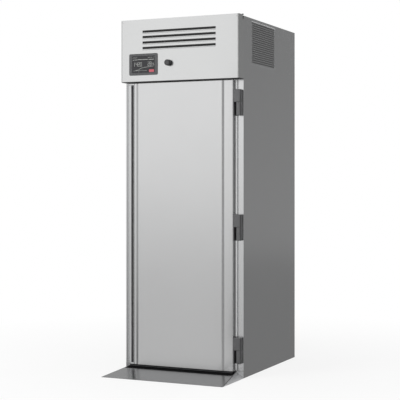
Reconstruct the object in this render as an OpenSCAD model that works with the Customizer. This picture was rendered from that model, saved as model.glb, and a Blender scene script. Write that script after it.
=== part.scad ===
// Refrigerated proofer: a free-standing insulated cabinet that a tray trolley rolls into.
// The origin is on the ground under the middle of the cabinet, +Z is up and the door faces -Y.
// Each module is drawn with Y = 0 on the front frame, and cabinet() puts it in its place.

/* [Cabinet] */
// Width over the two side panels
body_w = 880; // [840:1:960]
// Depth from the front frame to the back panel
body_d = 987; // [960:1:1100]
// Height of the roof above the ground
body_h = 2398; // [2360:1:2450]
// Steel sheet of the casing and the linings
sheet_t = 1.5; // [1:0.1:2]
// Thickness of the insulated side and back walls
wall_t = 70; // [60:1:80]
// Height of the insulated floor above the ground
floor_t = 38; // [38:1:44]
// Height of the machine compartment on top of the insulated ceiling, with the roof
machine_h = 398; // [390:1:430]
// Thickness of the insulated ceiling
ceiling_t = 60; // [50:1:70]
// Width of the return on each side panel's front edge
return_w = 36; // [30:1:40]
// Width of the shadow groove beside that return
seam_w = 11; // [8:1:14]
// Depth of the shadow groove
seam_d = 3; // [2:0.5:5]
// Width of each upright of the front frame
jamb_w = 90; // [86:1:96]
// Depth of the front frame
jamb_d = 45; // [35:1:60]
// Depth of the header below the chamber ceiling
header_drop = 15; // [8:1:20]

/* [Door] */
// Distance of the door's handle edge from the cabinet's left side
door_left = 44; // [42:1:50]
// Distance of the door's hinge edge from the cabinet's right side
door_right = 59; // [57:1:66]
// Height of the door's bottom edge above the ground
door_bottom = 48; // [46:1:52]
// Gap between the door's top edge and the fascia
door_gap = 10; // [6:1:20]
// Thickness of the door at its edge
door_t = 36; // [34:1:44]
// Rise of the middle panel out of the door's face
panel_rise = 4; // [2:0.5:6]
// Width of the sloping edge of the middle panel
bevel_w = 16; // [10:1:20]
// Distance of the middle panel from the handle edge
panel_left = 59; // [56:1:80]
// Distance of the middle panel from the hinge edge
panel_right = 62; // [40:1:80]
// Thickness of the magnetic gasket
gasket_t = 7; // [5:0.5:10]
// Width of the magnetic gasket
gasket_w = 22; // [16:1:24]
// Distance of the gasket from the door's edge
gasket_inset = 6; // [4:1:8]
// Thickness of the sweep seal under the door
sweep_t = 12; // [8:1:16]

/* [Handle] */
// Width of the handle profile along the door's free edge
handle_w = 42; // [40:1:50]
// Width of the lip in front of the fingers
lip_w = 19; // [18:1:24]
// Width of the finger groove
groove_w = 19; // [16:1:19]
// Depth of the finger groove
groove_d = 24; // [18:1:28]
// Reach of the groove behind the lip
undercut_w = 10; // [6:1:14]
// Thickness of the lip
lip_t = 7; // [4:0.5:9]
// Height of the solid end of the profile
handle_end_h = 11; // [8:1:40]

/* [Door hinges] */
// Distance of the pin from the door's edge
hinge_reach = 45; // [43:1:47]
// Distance of the pin in front of the frame
hinge_y = 14; // [13:0.5:16]
// Radius of the pin
hinge_pin_r = 5; // [4:0.5:5]
// Clearance round the pin
pin_gap = 0.05; // [0.02:0.01:0.1]
// Height of the upper half, on the door
hinge_upper_h = 84; // [76:1:92]
// Height of the lower half, on the frame
hinge_lower_h = 88; // [76:1:92]
// Distance of the lowest hinge's joint line from the door's bottom edge
hinge_rise = 139; // [120:1:200]
// Distance of the middle hinge's joint line below the door's middle
hinge_mid_drop = 10; // [0:1:40]
// Distance of the top hinge's joint line from the door's top edge
hinge_drop = 146; // [130:1:200]
// Width of the lower half
knuckle_w = 29; // [26:1:30]
// Metal between the pin and the hinge's outer side
knuckle_side = 8; // [7:0.5:10]
// Thickness of the leaf on the door's edge
leaf_t = 8; // [5:0.5:8]

/* [Fascia] */
// Depth of the fascia in front of the frame
fascia_d = 77; // [65:1:90]
// Reach of the fascia below the top of the insulated ceiling
fascia_drop = 18; // [16:1:22]
// Rise of the fascia above the roof
fascia_rise = 6; // [5:1:8]
// Radius of the upright front corners
fascia_r = 12; // [3:1:18]
// Radius of the piano hinge along the top
piano_r = 6; // [5:0.5:7]
// Number of knuckles of the piano hinge
piano_count = 7; // [5:2:11]

/* [Louvres] */
// Number of louvre slots
slot_count = 4; // [2:1:5]
// Distance of the slots' ends from the cabinet's sides
slot_side = 168; // [140:1:240]
// Height of a slot
slot_h = 15; // [8:1:18]
// Distance between slots
slot_pitch = 37.2; // [30:0.1:42]
// Distance of the first slot below the fascia's top edge
slot_drop = 83.5; // [60:0.5:90]
// Height of the pressed lip under a slot
slot_lip_h = 7; // [4:1:9]
// Reach of the pressed lip
slot_lip_d = 2.5; // [1:0.5:4]

/* [Display and knob] */
// Width of the display's surround
bezel_w = 218; // [180:1:230]
// Height of the display's surround
bezel_h = 147; // [120:1:160]
// Corner radius of the surround
bezel_r = 8; // [4:1:14]
// Distance of the surround in front of the fascia
bezel_rise = 3; // [2:0.5:5]
// Distance of the display's middle from the cabinet's left side
bezel_side = 175; // [150:1:200]
// Height of the display's middle above the fascia's bottom edge
bezel_z = 115.5; // [100:0.5:125]
// Width of the glass
screen_w = 171; // [140:1:176]
// Height of the glass
screen_h = 112; // [90:1:116]
// Distance of the knob from the display's middle
knob_side = 192; // [170:1:220]
// Height of the knob above the fascia's bottom edge
knob_z = 119; // [100:1:140]
// Diameter of the knob
knob_d = 42; // [34:1:50]
// Length of the knob
knob_l = 27; // [22:1:36]
// Gap behind the knob, for its travel when pressed
knob_gap = 4; // [3:0.5:6]

/* [Side vents] */
// Distance of the vent from the front frame
vent_y = 142; // [130:1:180]
// Length of the vent
vent_w = 436; // [360:1:450]
// Height of the vent
vent_h = 285; // [240:1:300]
// Distance of the vent below the roof
vent_drop = 24; // [18:1:40]
// Distance between the holes in a row
hole_pitch = 34; // [28:1:48]
// Share of the pitch that a hole takes
hole_share = 0.66; // [0.4:0.02:0.75]
// Height of the rain lip over the vent
vent_lip_h = 7; // [6:1:12]
// Reach of the rain lip
vent_lip_d = 2; // [2:0.5:5]

/* [Ramp] */
// Reach of the ramp in front of the frame
ramp_d = 348; // [300:1:420]
// Height of the ramp at the frame
ramp_h = 37; // [30:1:38]
// Height of the ramp's front edge
ramp_lip = 2; // [1.5:0.5:4]
// Thickness of the ramp's plate
ramp_t = 3; // [2:0.5:4]
// Number of ribs under the ramp
ramp_ribs = 3; // [2:1:6]

/* [Chamber] */
// Distance of the air duct panel in front of the back lining
duct_d = 90; // [80:1:100]
// Height of the air duct panel's bottom edge
duct_z = 60; // [50:1:90]
// Diameter of the circulation fan openings
evap_hole_d = 206; // [180:1:220]
// Distance of the circulation fans below the chamber's ceiling
evap_fan_drop = 160; // [150:1:180]
// Distance of a circulation fan from the chamber's side
evap_fan_side = 190; // [170:1:210]
// Number of slot rows in the duct panel
duct_rows = 14; // [6:1:14]
// Distance between slot rows
duct_pitch = 75; // [60:1:80]
// Height of the lower bumper rail
rail_low_z = 320; // [250:1:400]
// Height of the upper bumper rail
rail_top_z = 900; // [800:1:1100]
// Height of a bumper rail
rail_h = 60; // [40:1:80]
// Reach of a bumper rail into the chamber
rail_d = 22; // [15:1:30]

/* [Machine compartment] */
// Width of the condenser
cond_w = 440; // [400:1:480]
// Height of the condenser
cond_h = 280; // [250:1:300]
// Depth of the condenser
cond_d = 50; // [40:1:60]
// Distance of the condenser from the front frame
cond_y = 70; // [60:1:90]
// Distance of the condenser's middle from the cabinet's middle
cond_x = -60; // [-80:1:-40]
// Diameter of the condenser fan
cond_fan_d = 220; // [180:1:225]
// Radius of the compressor's shell
comp_r = 85; // [75:1:95]
// Height of the compressor's shell
comp_h = 220; // [190:1:250]
// Radius of the refrigerant pipes
pipe_r = 5; // [4:0.5:6]

/* [Connections] */
// Radius of the drain spout
drain_r = 16; // [12:1:20]
// Length of the drain spout behind the back panel
drain_l = 30; // [25:1:45]
// Height of the drain spout above the ground
drain_z = 90; // [80:1:120]
// Radius of the water inlet
inlet_r = 13; // [10:1:16]
// Length of the water inlet behind the back panel
inlet_l = 20; // [18:1:30]

/* [Hidden] */
$fn = 64;

// A cut runs this far past the face that it opens
cut = 1;
// Gap between pieces that move past each other
run_gap = 0.4;
// Gap between the gasket and the frame it closes on
seal_gap = 0.3;

// Outer and inner faces of the cabinet
half_w = body_w / 2;
shell_x = half_w - sheet_t;
chamber_x = half_w - wall_t;
liner_x = chamber_x + sheet_t;
opening_x = half_w - jamb_w;
chamber_back = body_d - wall_t;
liner_back_y = chamber_back + sheet_t;
shell_back = body_d - sheet_t;
deck_z = body_h - machine_h;
ceiling_z = deck_z - ceiling_t;
header_z = ceiling_z - header_drop;
roof_z = body_h - sheet_t;

// Edges of the fascia, and edges and faces of the door under it
fascia_z = deck_z - fascia_drop;
fascia_top = body_h + fascia_rise;
fascia_h = fascia_top - fascia_z;
door_x0 = -half_w + door_left;
door_x1 = half_w - door_right;
door_top = fascia_z - door_gap;
door_h = door_top - door_bottom;
door_back = -gasket_t;
door_face = door_back - door_t;
panel_face = door_face - panel_rise;
skin_x0 = door_x0 + handle_w;
panel_x0 = door_x0 + panel_left;
panel_x1 = door_x1 - panel_right;
groove_x0 = door_x0 + lip_w;
groove_x1 = groove_x0 + groove_w;
groove_y1 = door_face + groove_d;

// The door turns on this line
pin_x = door_x1 + hinge_reach;
pin_y = -hinge_y;
knuckle_x1 = pin_x + knuckle_side;
knuckle_x0 = knuckle_x1 - knuckle_w;
knuckle_back = -2;
knuckle_r = 6;
pin_up = 72;
pin_down = 60;
hinge_zs = [door_bottom + hinge_rise, (door_bottom + door_top) / 2 - hinge_mid_drop, door_top - hinge_drop];

// Faces of the fascia and the line that it lifts on
fascia_face = -fascia_d;
fascia_back = -1;
piano_y = fascia_back - piano_r;
piano_z = fascia_top + cut;
piano_pin_r = 3;
piano_half = half_w - 4;
piano_len = 2 * piano_half / piano_count;
piano_leaf_d = 40;
piano_leaf_t = 2.5;
rail_t = 30;
rail_x = half_w - return_w - 1;
slot_top = fascia_top - slot_drop;
slot_x = half_w - slot_side;
bezel_x = -half_w + bezel_side;
bezel_zc = fascia_z + bezel_z;
knob_x = bezel_x + knob_side;
knob_zc = fascia_z + knob_z;
shaft_r = 3;
knob_hole_r = 5;
shaft_inside = 20;
knob_bore_l = 13;
bezel_fit = 10;
module_d = 40;

// Places of the vents
vent_top = body_h - vent_drop;
vent_zc = vent_top - vent_h / 2;
vent_yc = vent_y + vent_w / 2;
vent_lap = 8;
vent_gap = 0.8;

// Ramp height at a distance in front of the frame
function ramp_at(y) = ramp_lip + (ramp_h - ramp_lip) * (ramp_d - y) / ramp_d;

// Sweep seal, hung behind the door's face and just clear of the ramp
sweep_back = door_face + 5 + sweep_t;
sweep_z = ramp_at(-sweep_back) + 1;

// Pieces in the air duct, from the panel to the back lining
duct_y = chamber_back - duct_d;
duct_x = chamber_x - 4;
coil_x = duct_x - 66;
coil_h = 240;
coil_z = ceiling_z - 320 - coil_h;
evap_fan_x = chamber_x - evap_fan_side;
evap_fan_z = ceiling_z - evap_fan_drop;
coil_d = 55;
coil_y = chamber_back - coil_d - 8;
coil_rows = 6;
fan_depth = 30;
evap_fan_r = evap_hole_d / 2 - 8;
evap_fan_y = duct_y + 10;
evap_motor_y = evap_fan_y + fan_depth + 2;
tray_z = coil_z - 70;
tray_h = 30;
tray_x = coil_x + 20;
steam_x = -chamber_x + 30;
steam_end = chamber_x - 170;
steam_y = chamber_back - 30;
steam_z = tray_z - tray_h - 30;
steam_r = 12;
drain_x = chamber_x - 50;
drain_y = chamber_back - 40;
drain_neck_r = drain_r - 2;

// Pieces in the machine compartment
deck_top = deck_z + sheet_t;
cond_rows = 7;
cond_lift = 6;
cond_step = cond_h / cond_rows;
cond_x0 = cond_x - cond_w / 2;
cond_x1 = cond_x + cond_w / 2;
cond_mid = cond_y + cond_d / 2;
shroud_y = cond_y + cond_d;
shroud_d = 30;
fan_zc = deck_top + cond_lift + cond_h / 2;
fan_hole_r = cond_fan_d / 2 + 4;
motor_y = shroud_y + 46;
motor_strap_y = motor_y + 20;
strap_t = 3;
comp_x = 190;
comp_y = 380;
mount_h = 26;
comp_z = deck_top + mount_h;
comp_foot = comp_r - 10;
comp_foot_r = 14;
recv_x = 30;
recv_y = 340;
recv_r = 45;
recv_h = 210;
recv_neck_h = 6;
drier_x = -60;
drier_r = 20;
drier_h = 110;
drier_lift = 55;
drier_cone = 15;
line_x = -60;
suction_x = 0;
box_x = 23.5 - shell_x;
box_y = 240;
boiler_x = 38.5 - shell_x;
boiler_y = 620;
boiler_w = 160;
boiler_d = 140;
boiler_h = 230;
steam_port_z = deck_top + 60;

// Connections through the back panel
inlet_x = shell_x - 108.5;
inlet_z = deck_z + 60;
inlet_neck_r = inlet_r - 2;
gland_r = 10;

steel_c = "gainsboro";
dark_c = "dimgray";
foam_c = "khaki";
copper_c = "peru";
rubber_c = "#202020";

// Moves the drawing from the front frame to the part's own origin
module cabinet() {
    translate([0, -body_d / 2, 0]) children();
}

// A box between two corners
module block(low, high) {
    translate(low) cube(high - low);
}

// A shape drawn in X and Z, carried back along Y from y0 to y1
module along_y(y0, y1) {
    translate([0, y1, 0]) rotate([90, 0, 0]) linear_extrude(y1 - y0) children();
}

// A shape drawn in Y and Z, carried along X from x0 to x1
module along_x(x0, x1) {
    translate([x0, 0, 0]) rotate([90, 0, 90]) linear_extrude(x1 - x0) children();
}

// A round bar along Y
module bar_y(x, z, r, y0, y1) {
    translate([x, y1, z]) rotate([90, 0, 0]) cylinder(r = r, h = y1 - y0);
}

// A round bar along X
module bar_x(y, z, r, x0, x1) {
    translate([x0, y, z]) rotate([0, 90, 0]) cylinder(r = r, h = x1 - x0);
}

// A rectangle with round corners, in the plane it is called in
module round_rect(w, h, r) {
    square([w - 2 * r, h], center = true);
    square([w, h - 2 * r], center = true);
    for (x = [-1, 1], y = [-1, 1]) {
        translate([x * (w / 2 - r), y * (h / 2 - r)]) circle(r);
    }
}

// A pipe through a list of points, with a round joint at each bend
module pipe(points, r) {
    for (i = [0 : len(points) - 2]) {
        run = points[i + 1] - points[i];
        span = norm(run);
        turn = atan2(run[1], run[0]);
        tilt = acos(run[2] / span);
        translate(points[i]) rotate([0, tilt, turn]) cylinder(r = r, h = span);
        if (i > 0) translate(points[i]) sphere(r + 0.5);
    }
}

// Half a ring, from one tube end to the next one above it
module return_bend(r, bend) {
    rotate([90, 0, 0]) rotate([0, 0, -90]) rotate_extrude(angle = 180) translate([bend, 0]) circle(r);
}

// A finned block with its return bends at both ends
module finned_coil(x0, x1, y0, y1, z0, z1, rows, tube_r) {
    step = (z1 - z0) / rows;
    run_in = 1;
    block([x0, y0, z0], [x1, y1, z1]);
    for (i = [0 : rows - 2]) {
        side = i % 2 == 0 ? 1 : -1;
        x = side > 0 ? x1 - run_in : x0 + run_in;
        z = z0 + step * (i + 1);
        translate([x, (y0 + y1) / 2, z]) mirror([side < 0 ? 1 : 0, 0, 0]) return_bend(tube_r, step / 2);
    }
}

// A fan of flat pitched blades round a hub, blowing along Y
module fan(r, hub_r, depth, blades, blade_t, pitch) {
    rotate([-90, 0, 0]) {
        cylinder(r = hub_r, h = depth);
        intersection() {
            cylinder(r = r, h = depth);
            for (i = [0 : blades - 1]) {
                rotate([0, 0, i * 360 / blades]) translate([r / 2, 0, depth / 2]) rotate([pitch, 0, 0])
                    cube([r, depth * 2, blade_t], center = true);
            }
        }
    }
}

// Insulated floor, between the uprights at the front and under the walls behind
module floor_core() {
    color(foam_c) cabinet() linear_extrude(floor_t - sheet_t) polygon([
        [-opening_x, 0], [opening_x, 0], [opening_x, jamb_d], [shell_x, jamb_d],
        [shell_x, shell_back], [-shell_x, shell_back], [-shell_x, jamb_d], [-opening_x, jamb_d]]);
}

// Floor plate that the trolley rolls over
module floor_plate() {
    color(steel_c) cabinet() translate([0, 0, floor_t - sheet_t]) linear_extrude(sheet_t) polygon([
        [-opening_x, 0], [opening_x, 0], [opening_x, jamb_d], [chamber_x, jamb_d],
        [chamber_x, chamber_back], [-chamber_x, chamber_back], [-chamber_x, jamb_d], [-opening_x, jamb_d]]);
}

// Space under the ramp's faces: a wedge from front to back, with both ends sloping
module ramp_form(drop) {
    intersection() {
        along_x(-half_w, half_w) polygon([
            [0, -cut], [0, ramp_h - drop], [-ramp_d, ramp_lip - drop], [-ramp_d, -cut]]);
        along_y(-ramp_d, 0) polygon([
            [-half_w, -cut], [half_w, -cut], [half_w, ramp_lip - drop], [door_x1, ramp_h - drop],
            [door_x0, ramp_h - drop], [-half_w, ramp_lip - drop]]);
    }
}

// Bent steel ramp with sloping ends, a back plate and ribs
module access_ramp() {
    rib_step = (door_x1 - door_x0) / (ramp_ribs + 1);
    color(steel_c) cabinet() intersection() {
        block([-half_w, -ramp_d, 0], [half_w, 0, ramp_h]);
        union() {
            difference() {
                ramp_form(0);
                ramp_form(ramp_t);
            }
            intersection() {
                ramp_form(0);
                union() {
                    block([-half_w, -ramp_t, 0], [half_w, 0, ramp_h]);
                    for (i = [1 : ramp_ribs]) {
                        block([door_x0 + i * rib_step, -ramp_d, 0],
                            [door_x0 + i * rib_step + ramp_t, 0, ramp_h]);
                    }
                }
            }
        }
    }
}

// Side panel with its front return, vent opening and rain lip, drawn on the right
module side_panel() {
    difference() {
        union() {
            block([shell_x, 0, 0], [half_w, body_d, body_h]);
            block([half_w - return_w, 0, 0], [half_w, sheet_t, roof_z]);
        }
        block([shell_x - cut, vent_y, vent_top - vent_h], [half_w + cut, vent_y + vent_w, vent_top]);
    }
    translate([0, vent_y, vent_top]) rotate([90, 0, 90]) translate([0, 0, half_w]) rotate([0, 90, 0])
        linear_extrude(vent_w) polygon([[0, 0], [-vent_lip_d, 0], [0, vent_lip_h]]);
}

module side_panel_right() {
    color(steel_c) cabinet() side_panel();
}

module side_panel_left() {
    color(steel_c) cabinet() mirror([1, 0, 0]) side_panel();
}

// Back panel, with slots for the machine compartment and holes for the connections
module back_panel() {
    columns = 3;
    rows = 8;
    slot_len = 130;
    slot_gap = 50;
    slot_t = 8;
    row_pitch = 22;
    slots_zc = vent_zc + 60;
    color(steel_c) cabinet() difference() {
        block([-shell_x, shell_back, 0], [shell_x, body_d, roof_z]);
        for (i = [0 : columns - 1], j = [0 : rows - 1]) {
            x = (i - (columns - 1) / 2) * (slot_len + slot_gap);
            z = slots_zc + (j - (rows - 1) / 2) * row_pitch;
            block([x - slot_len / 2, shell_back - cut, z - slot_t / 2],
                [x + slot_len / 2, body_d + cut, z + slot_t / 2]);
        }
        bar_y(drain_x, drain_z, drain_neck_r, shell_back - cut, body_d + cut);
        bar_y(inlet_x, inlet_z, inlet_neck_r, shell_back - cut, body_d + cut);
        bar_y(-inlet_x, inlet_z, gland_r, shell_back - cut, body_d + cut);
    }
}

// Roof over the machine compartment, with a turned-down edge on three sides
module roof_panel() {
    edge_h = vent_drop - vent_lap - vent_gap - sheet_t;
    color(steel_c) cabinet() {
        block([-shell_x, 0, roof_z], [shell_x, body_d, body_h]);
        for (side = [-1, 1]) {
            translate([side * (shell_x - sheet_t / 2), 0, 0])
                block([-sheet_t / 2, jamb_d, roof_z - edge_h], [sheet_t / 2, shell_back, roof_z]);
        }
    }
}

// Pipes that run down through the insulated ceiling, each as a cut of its own radius
module ceiling_cuts() {
    low = ceiling_z - cut;
    for (x = [line_x, suction_x]) {
        translate([x, drain_y, low]) cylinder(r = pipe_r, h = ceiling_t + 2 * cut);
    }
    translate([steam_x, steam_y, low]) cylinder(r = steam_r, h = ceiling_t + 2 * cut);
}

// Foamed side, back and ceiling walls
module wall_insulation() {
    inner_x = liner_x - seal_gap;
    low = floor_t - sheet_t;
    color(foam_c) cabinet() {
        for (side = [0, 1]) mirror([side, 0, 0])
            block([liner_x, jamb_d, low], [shell_x, shell_back, deck_z]);
        difference() {
            block([-inner_x, liner_back_y, low], [inner_x, shell_back, deck_z]);
            bar_y(drain_x, drain_z, drain_neck_r, liner_back_y - cut, shell_back + cut);
        }
        difference() {
            block([-inner_x, jamb_d, ceiling_z + sheet_t], [inner_x, liner_back_y - seal_gap, deck_z]);
            ceiling_cuts();
        }
    }
}

// Steel lining of the two side walls
module liner_sides() {
    color(steel_c) cabinet() for (side = [0, 1]) mirror([side, 0, 0])
        block([chamber_x, jamb_d, floor_t - sheet_t], [liner_x, liner_back_y, ceiling_z]);
}

// Steel lining of the back wall
module liner_back() {
    color(steel_c) cabinet() difference() {
        block([-chamber_x, chamber_back, floor_t - sheet_t], [chamber_x, liner_back_y, ceiling_z]);
        bar_y(drain_x, drain_z, drain_neck_r, chamber_back - cut, liner_back_y + cut);
    }
}

// Steel lining of the ceiling
module liner_ceiling() {
    color(steel_c) cabinet() difference() {
        block([-liner_x, jamb_d, ceiling_z], [liner_x, liner_back_y, ceiling_z + sheet_t]);
        ceiling_cuts();
    }
}

// Uprights of the front frame, each with its shadow groove
module frame_jambs() {
    seam_x = half_w - return_w;
    color(steel_c) cabinet() for (side = [0, 1]) mirror([side, 0, 0]) linear_extrude(deck_z) polygon([
        [opening_x, 0], [seam_x - seam_w, 0], [seam_x - seam_w, seam_d], [seam_x, seam_d],
        [seam_x, sheet_t], [shell_x, sheet_t], [shell_x, jamb_d], [opening_x, jamb_d]]);
}

// Header of the front frame, over the opening
module frame_header() {
    color(steel_c) cabinet() block([-opening_x, 0, header_z], [opening_x, jamb_d, deck_z]);
}

// Perforated plate behind a side vent, drawn on the right
module vent_grille() {
    hole_r = hole_pitch * hole_share / 2;
    row_step = hole_pitch * sqrt(3) / 2;
    rows = floor((vent_h - hole_pitch * hole_share - 4) / row_step / 2);
    columns = floor((vent_w - hole_pitch * 1.5) / hole_pitch / 2);
    along_x(shell_x - sheet_t, shell_x) difference() {
        translate([vent_y - vent_lap, vent_top - vent_h - vent_lap])
            square([vent_w + 2 * vent_lap, vent_h + 2 * vent_lap]);
        for (row = [-rows : rows], column = [-columns : columns]) {
            shift = row % 2 == 0 ? -0.25 : 0.25;
            translate([vent_yc + (column + shift) * hole_pitch, vent_zc + row * row_step])
                circle(hole_r, $fn = 24);
        }
    }
}

module vent_grilles() {
    color(dark_c) cabinet() for (side = [0, 1]) mirror([side, 0, 0]) vent_grille();
}

// Tray that carries the condensing unit on top of the ceiling
module machine_tray() {
    edge_h = 18;
    tray_x = shell_x - 8;
    tray_y0 = jamb_d;
    tray_y1 = chamber_back - 60;
    color(steel_c) cabinet() {
        block([-tray_x, tray_y0, deck_z], [tray_x, tray_y1, deck_top]);
        for (side = [-1, 1]) translate([side * (tray_x - sheet_t / 2), 0, 0])
            block([-sheet_t / 2, tray_y0, deck_z], [sheet_t / 2, tray_y1, deck_z + edge_h]);
    }
}

// Posts at both sides of the machine compartment's front
module fascia_posts() {
    post_d = 25;
    color(steel_c) cabinet() for (side = [0, 1]) mirror([side, 0, 0])
        block([half_w - return_w, sheet_t, deck_z], [shell_x, sheet_t + post_d, roof_z - rail_t]);
}

// Front rail under the roof, with the fixed knuckles of the piano hinge
module fascia_rail() {
    rail_d = 25;
    color(steel_c) cabinet() {
        block([-rail_x, 0, roof_z - rail_t], [rail_x, rail_d, roof_z]);
        piano_knuckles(0, -piano_leaf_t, 0, roof_z - rail_t, piano_z);
    }
}

// Every second knuckle of the piano hinge, each with its own piece of leaf
module piano_knuckles(first, leaf_y0, leaf_y1, leaf_z0, leaf_z1) {
    bore_r = piano_pin_r + (first == 0 ? 0 : pin_gap);
    for (i = [first : 2 : piano_count - 1]) {
        x0 = -piano_half + i * piano_len + run_gap;
        x1 = x0 + piano_len - 2 * run_gap;
        difference() {
            union() {
                bar_x(piano_y, piano_z, piano_r, x0, x1);
                block([max(x0, -rail_x), leaf_y0, leaf_z0], [min(x1, rail_x), leaf_y1, leaf_z1]);
            }
            bar_x(piano_y, piano_z, bore_r, x0 - cut, x1 + cut);
        }
    }
}

// Hermetic compressor: a shell of two domed halves, with its base plate and terminal cover
module compressor() {
    weld_h = 12;
    weld_t = 3;
    dome = 30;
    cover_w = 60;
    cover_reach = 25;
    plate_t = 5;
    plate_x = comp_foot + comp_foot_r;
    color(rubber_c) cabinet() translate([comp_x, comp_y, comp_z]) {
        cylinder(r1 = comp_r - dome, r2 = comp_r, h = dome);
        translate([0, 0, dome]) cylinder(r = comp_r, h = comp_h - 2 * dome);
        translate([0, 0, comp_h - dome]) cylinder(r1 = comp_r, r2 = comp_r - dome, h = dome);
        translate([0, 0, comp_h / 2]) cylinder(r = comp_r + weld_t, h = weld_h, center = true);
        block([-comp_r - cover_reach, -cover_w / 2, comp_h / 2 + weld_h], [0, cover_w / 2, comp_h - dome]);
        for (x = [-1, 1], y = [-1, 1]) {
            translate([x * comp_foot, y * comp_foot, 0]) cylinder(r = comp_foot_r, h = plate_t);
        }
        block([-comp_foot, -plate_x, 0], [comp_foot, plate_x, plate_t]);
        block([-plate_x, -comp_foot, 0], [plate_x, comp_foot, plate_t]);
    }
}

// Rubber feet under the compressor
module compressor_mounts() {
    color(dark_c) cabinet() for (x = [-1, 1], y = [-1, 1]) {
        translate([comp_x + x * comp_foot, comp_y + y * comp_foot, deck_top])
            cylinder(r = comp_foot_r - 1, h = mount_h);
    }
}

// Condenser, a finned block on its two end plates
module condenser_coil() {
    plate_t = 2;
    plate_h = cond_lift + 2;
    color("silver") cabinet() {
        finned_coil(cond_x0, cond_x1, cond_y, cond_y + cond_d,
            deck_top + cond_lift, deck_top + cond_lift + cond_h, cond_rows, pipe_r);
        for (x = [cond_x0, cond_x1 - plate_t]) {
            block([x, cond_y, deck_top], [x + plate_t, cond_y + cond_d, deck_top + plate_h]);
        }
    }
}

// Plate and ring that guide the air from the condenser to its fan
module fan_shroud() {
    ring_t = 3;
    plate_t = 2;
    color(dark_c) cabinet() difference() {
        union() {
            block([cond_x0, shroud_y, deck_top],
                [cond_x1, shroud_y + plate_t, deck_top + cond_lift + cond_h]);
            bar_y(cond_x, fan_zc, fan_hole_r + ring_t, shroud_y, shroud_y + shroud_d);
        }
        bar_y(cond_x, fan_zc, fan_hole_r, shroud_y - cut, shroud_y + shroud_d + cut);
    }
}

// Motor of the condenser fan, on a strap between two legs
module condenser_fan_motor() {
    motor_r = 38;
    motor_l = 55;
    shaft_l = 24;
    leg_x = 128;
    leg_w = 16;
    strap_h = 20;
    foot_d = 25;
    color(rubber_c) cabinet() {
        bar_y(cond_x, fan_zc, motor_r, motor_y, motor_y + motor_l);
        bar_y(cond_x, fan_zc, shaft_r, motor_y - shaft_l, motor_y);
        translate([cond_x, motor_strap_y, 0]) {
            block([-leg_x, 0, fan_zc - strap_h / 2], [leg_x, strap_t, fan_zc + strap_h / 2]);
            for (x = [-leg_x, leg_x - leg_w]) {
                block([x, 0, deck_top], [x + leg_w, strap_t, fan_zc + strap_h / 2]);
                block([x, 0, deck_top], [x + leg_w, foot_d, deck_top + strap_t]);
            }
        }
    }
}

// Blades of the condenser fan, bored for the motor's shaft
module condenser_fan() {
    depth = 28;
    hub_r = 32;
    bore_l = 10;
    color(dark_c) cabinet() translate([cond_x, shroud_y + 1, fan_zc]) difference() {
        fan(cond_fan_d / 2, hub_r, depth, 5, 2.5, 32);
        translate([0, depth - bore_l, 0]) rotate([-90, 0, 0])
            cylinder(r = shaft_r + pin_gap, h = bore_l + cut);
    }
}

// Liquid receiver on its foot, with the outlet's neck on top
module liquid_receiver() {
    foot_h = 6;
    dome = 14;
    dome_r = recv_r - dome;
    neck_r = 14;
    color(rubber_c) cabinet() translate([recv_x, recv_y, deck_top]) {
        cylinder(r = recv_r - foot_h, h = foot_h);
        translate([0, 0, foot_h]) cylinder(r1 = dome_r, r2 = recv_r, h = dome);
        translate([0, 0, foot_h + dome]) cylinder(r = recv_r, h = recv_h - foot_h - 2 * dome);
        translate([0, 0, recv_h - dome]) cylinder(r1 = recv_r, r2 = dome_r, h = dome);
        translate([0, 0, recv_h]) cylinder(r = neck_r, h = recv_neck_h);
    }
}

// Filter drier, upright in the liquid line, with its bracket
module filter_drier() {
    tip_r = pipe_r + 1;
    bracket_t = 3;
    bracket_h = 120;
    foot_d = 22;
    color(copper_c) cabinet() translate([drier_x, recv_y, deck_top]) {
        translate([0, 0, drier_lift]) cylinder(r1 = tip_r, r2 = drier_r, h = drier_cone);
        translate([0, 0, drier_lift + drier_cone]) cylinder(r = drier_r, h = drier_h);
        translate([0, 0, drier_lift + drier_cone + drier_h])
            cylinder(r1 = drier_r, r2 = tip_r, h = drier_cone);
        block([-drier_r, -drier_r - bracket_t + 1, 0], [drier_r, 1 - drier_r, bracket_h]);
        block([-drier_r, -drier_r - foot_d, 0], [drier_r, 1 - drier_r, bracket_t]);
    }
}

// Copper pipes between the compressor, condenser, receiver, drier and evaporator
module refrigerant_pipes() {
    hot_x = comp_x + 30;
    hot_z = deck_top + cond_lift + cond_h - cond_step / 2;
    cool_x = cond_x0 - 40;
    cool_y = motor_strap_y + 39;
    cool_z = deck_top + cond_lift + cond_step / 2;
    over_z = deck_top + recv_h + 30;
    drier_top = deck_top + drier_lift + drier_h + 2 * drier_cone;
    liquid_z = deck_top + 25;
    suction_z = comp_z + 60;
    coil_top = coil_z + coil_h;
    color(copper_c) cabinet() {
        pipe([[hot_x, comp_y, comp_z + comp_h], [hot_x, comp_y, hot_z], [hot_x, cond_mid, hot_z],
            [cond_x1, cond_mid, hot_z]], pipe_r);
        pipe([[cond_x0, cond_mid, cool_z], [cool_x, cond_mid, cool_z], [cool_x, cool_y, cool_z],
            [recv_x, cool_y, cool_z], [recv_x, recv_y - recv_r, cool_z]], pipe_r);
        pipe([[recv_x, recv_y, deck_top + recv_h + recv_neck_h], [recv_x, recv_y, over_z],
            [drier_x, recv_y, over_z], [drier_x, recv_y, drier_top]], pipe_r);
        pipe([[drier_x, recv_y, deck_top + drier_lift], [drier_x, recv_y, liquid_z],
            [line_x, drain_y, liquid_z], [line_x, drain_y, coil_top]], pipe_r);
        pipe([[suction_x, drain_y, coil_top], [suction_x, drain_y, suction_z],
            [comp_x, drain_y - comp_r, suction_z], [comp_x, comp_y + comp_r, suction_z]], pipe_r);
    }
}

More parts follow.
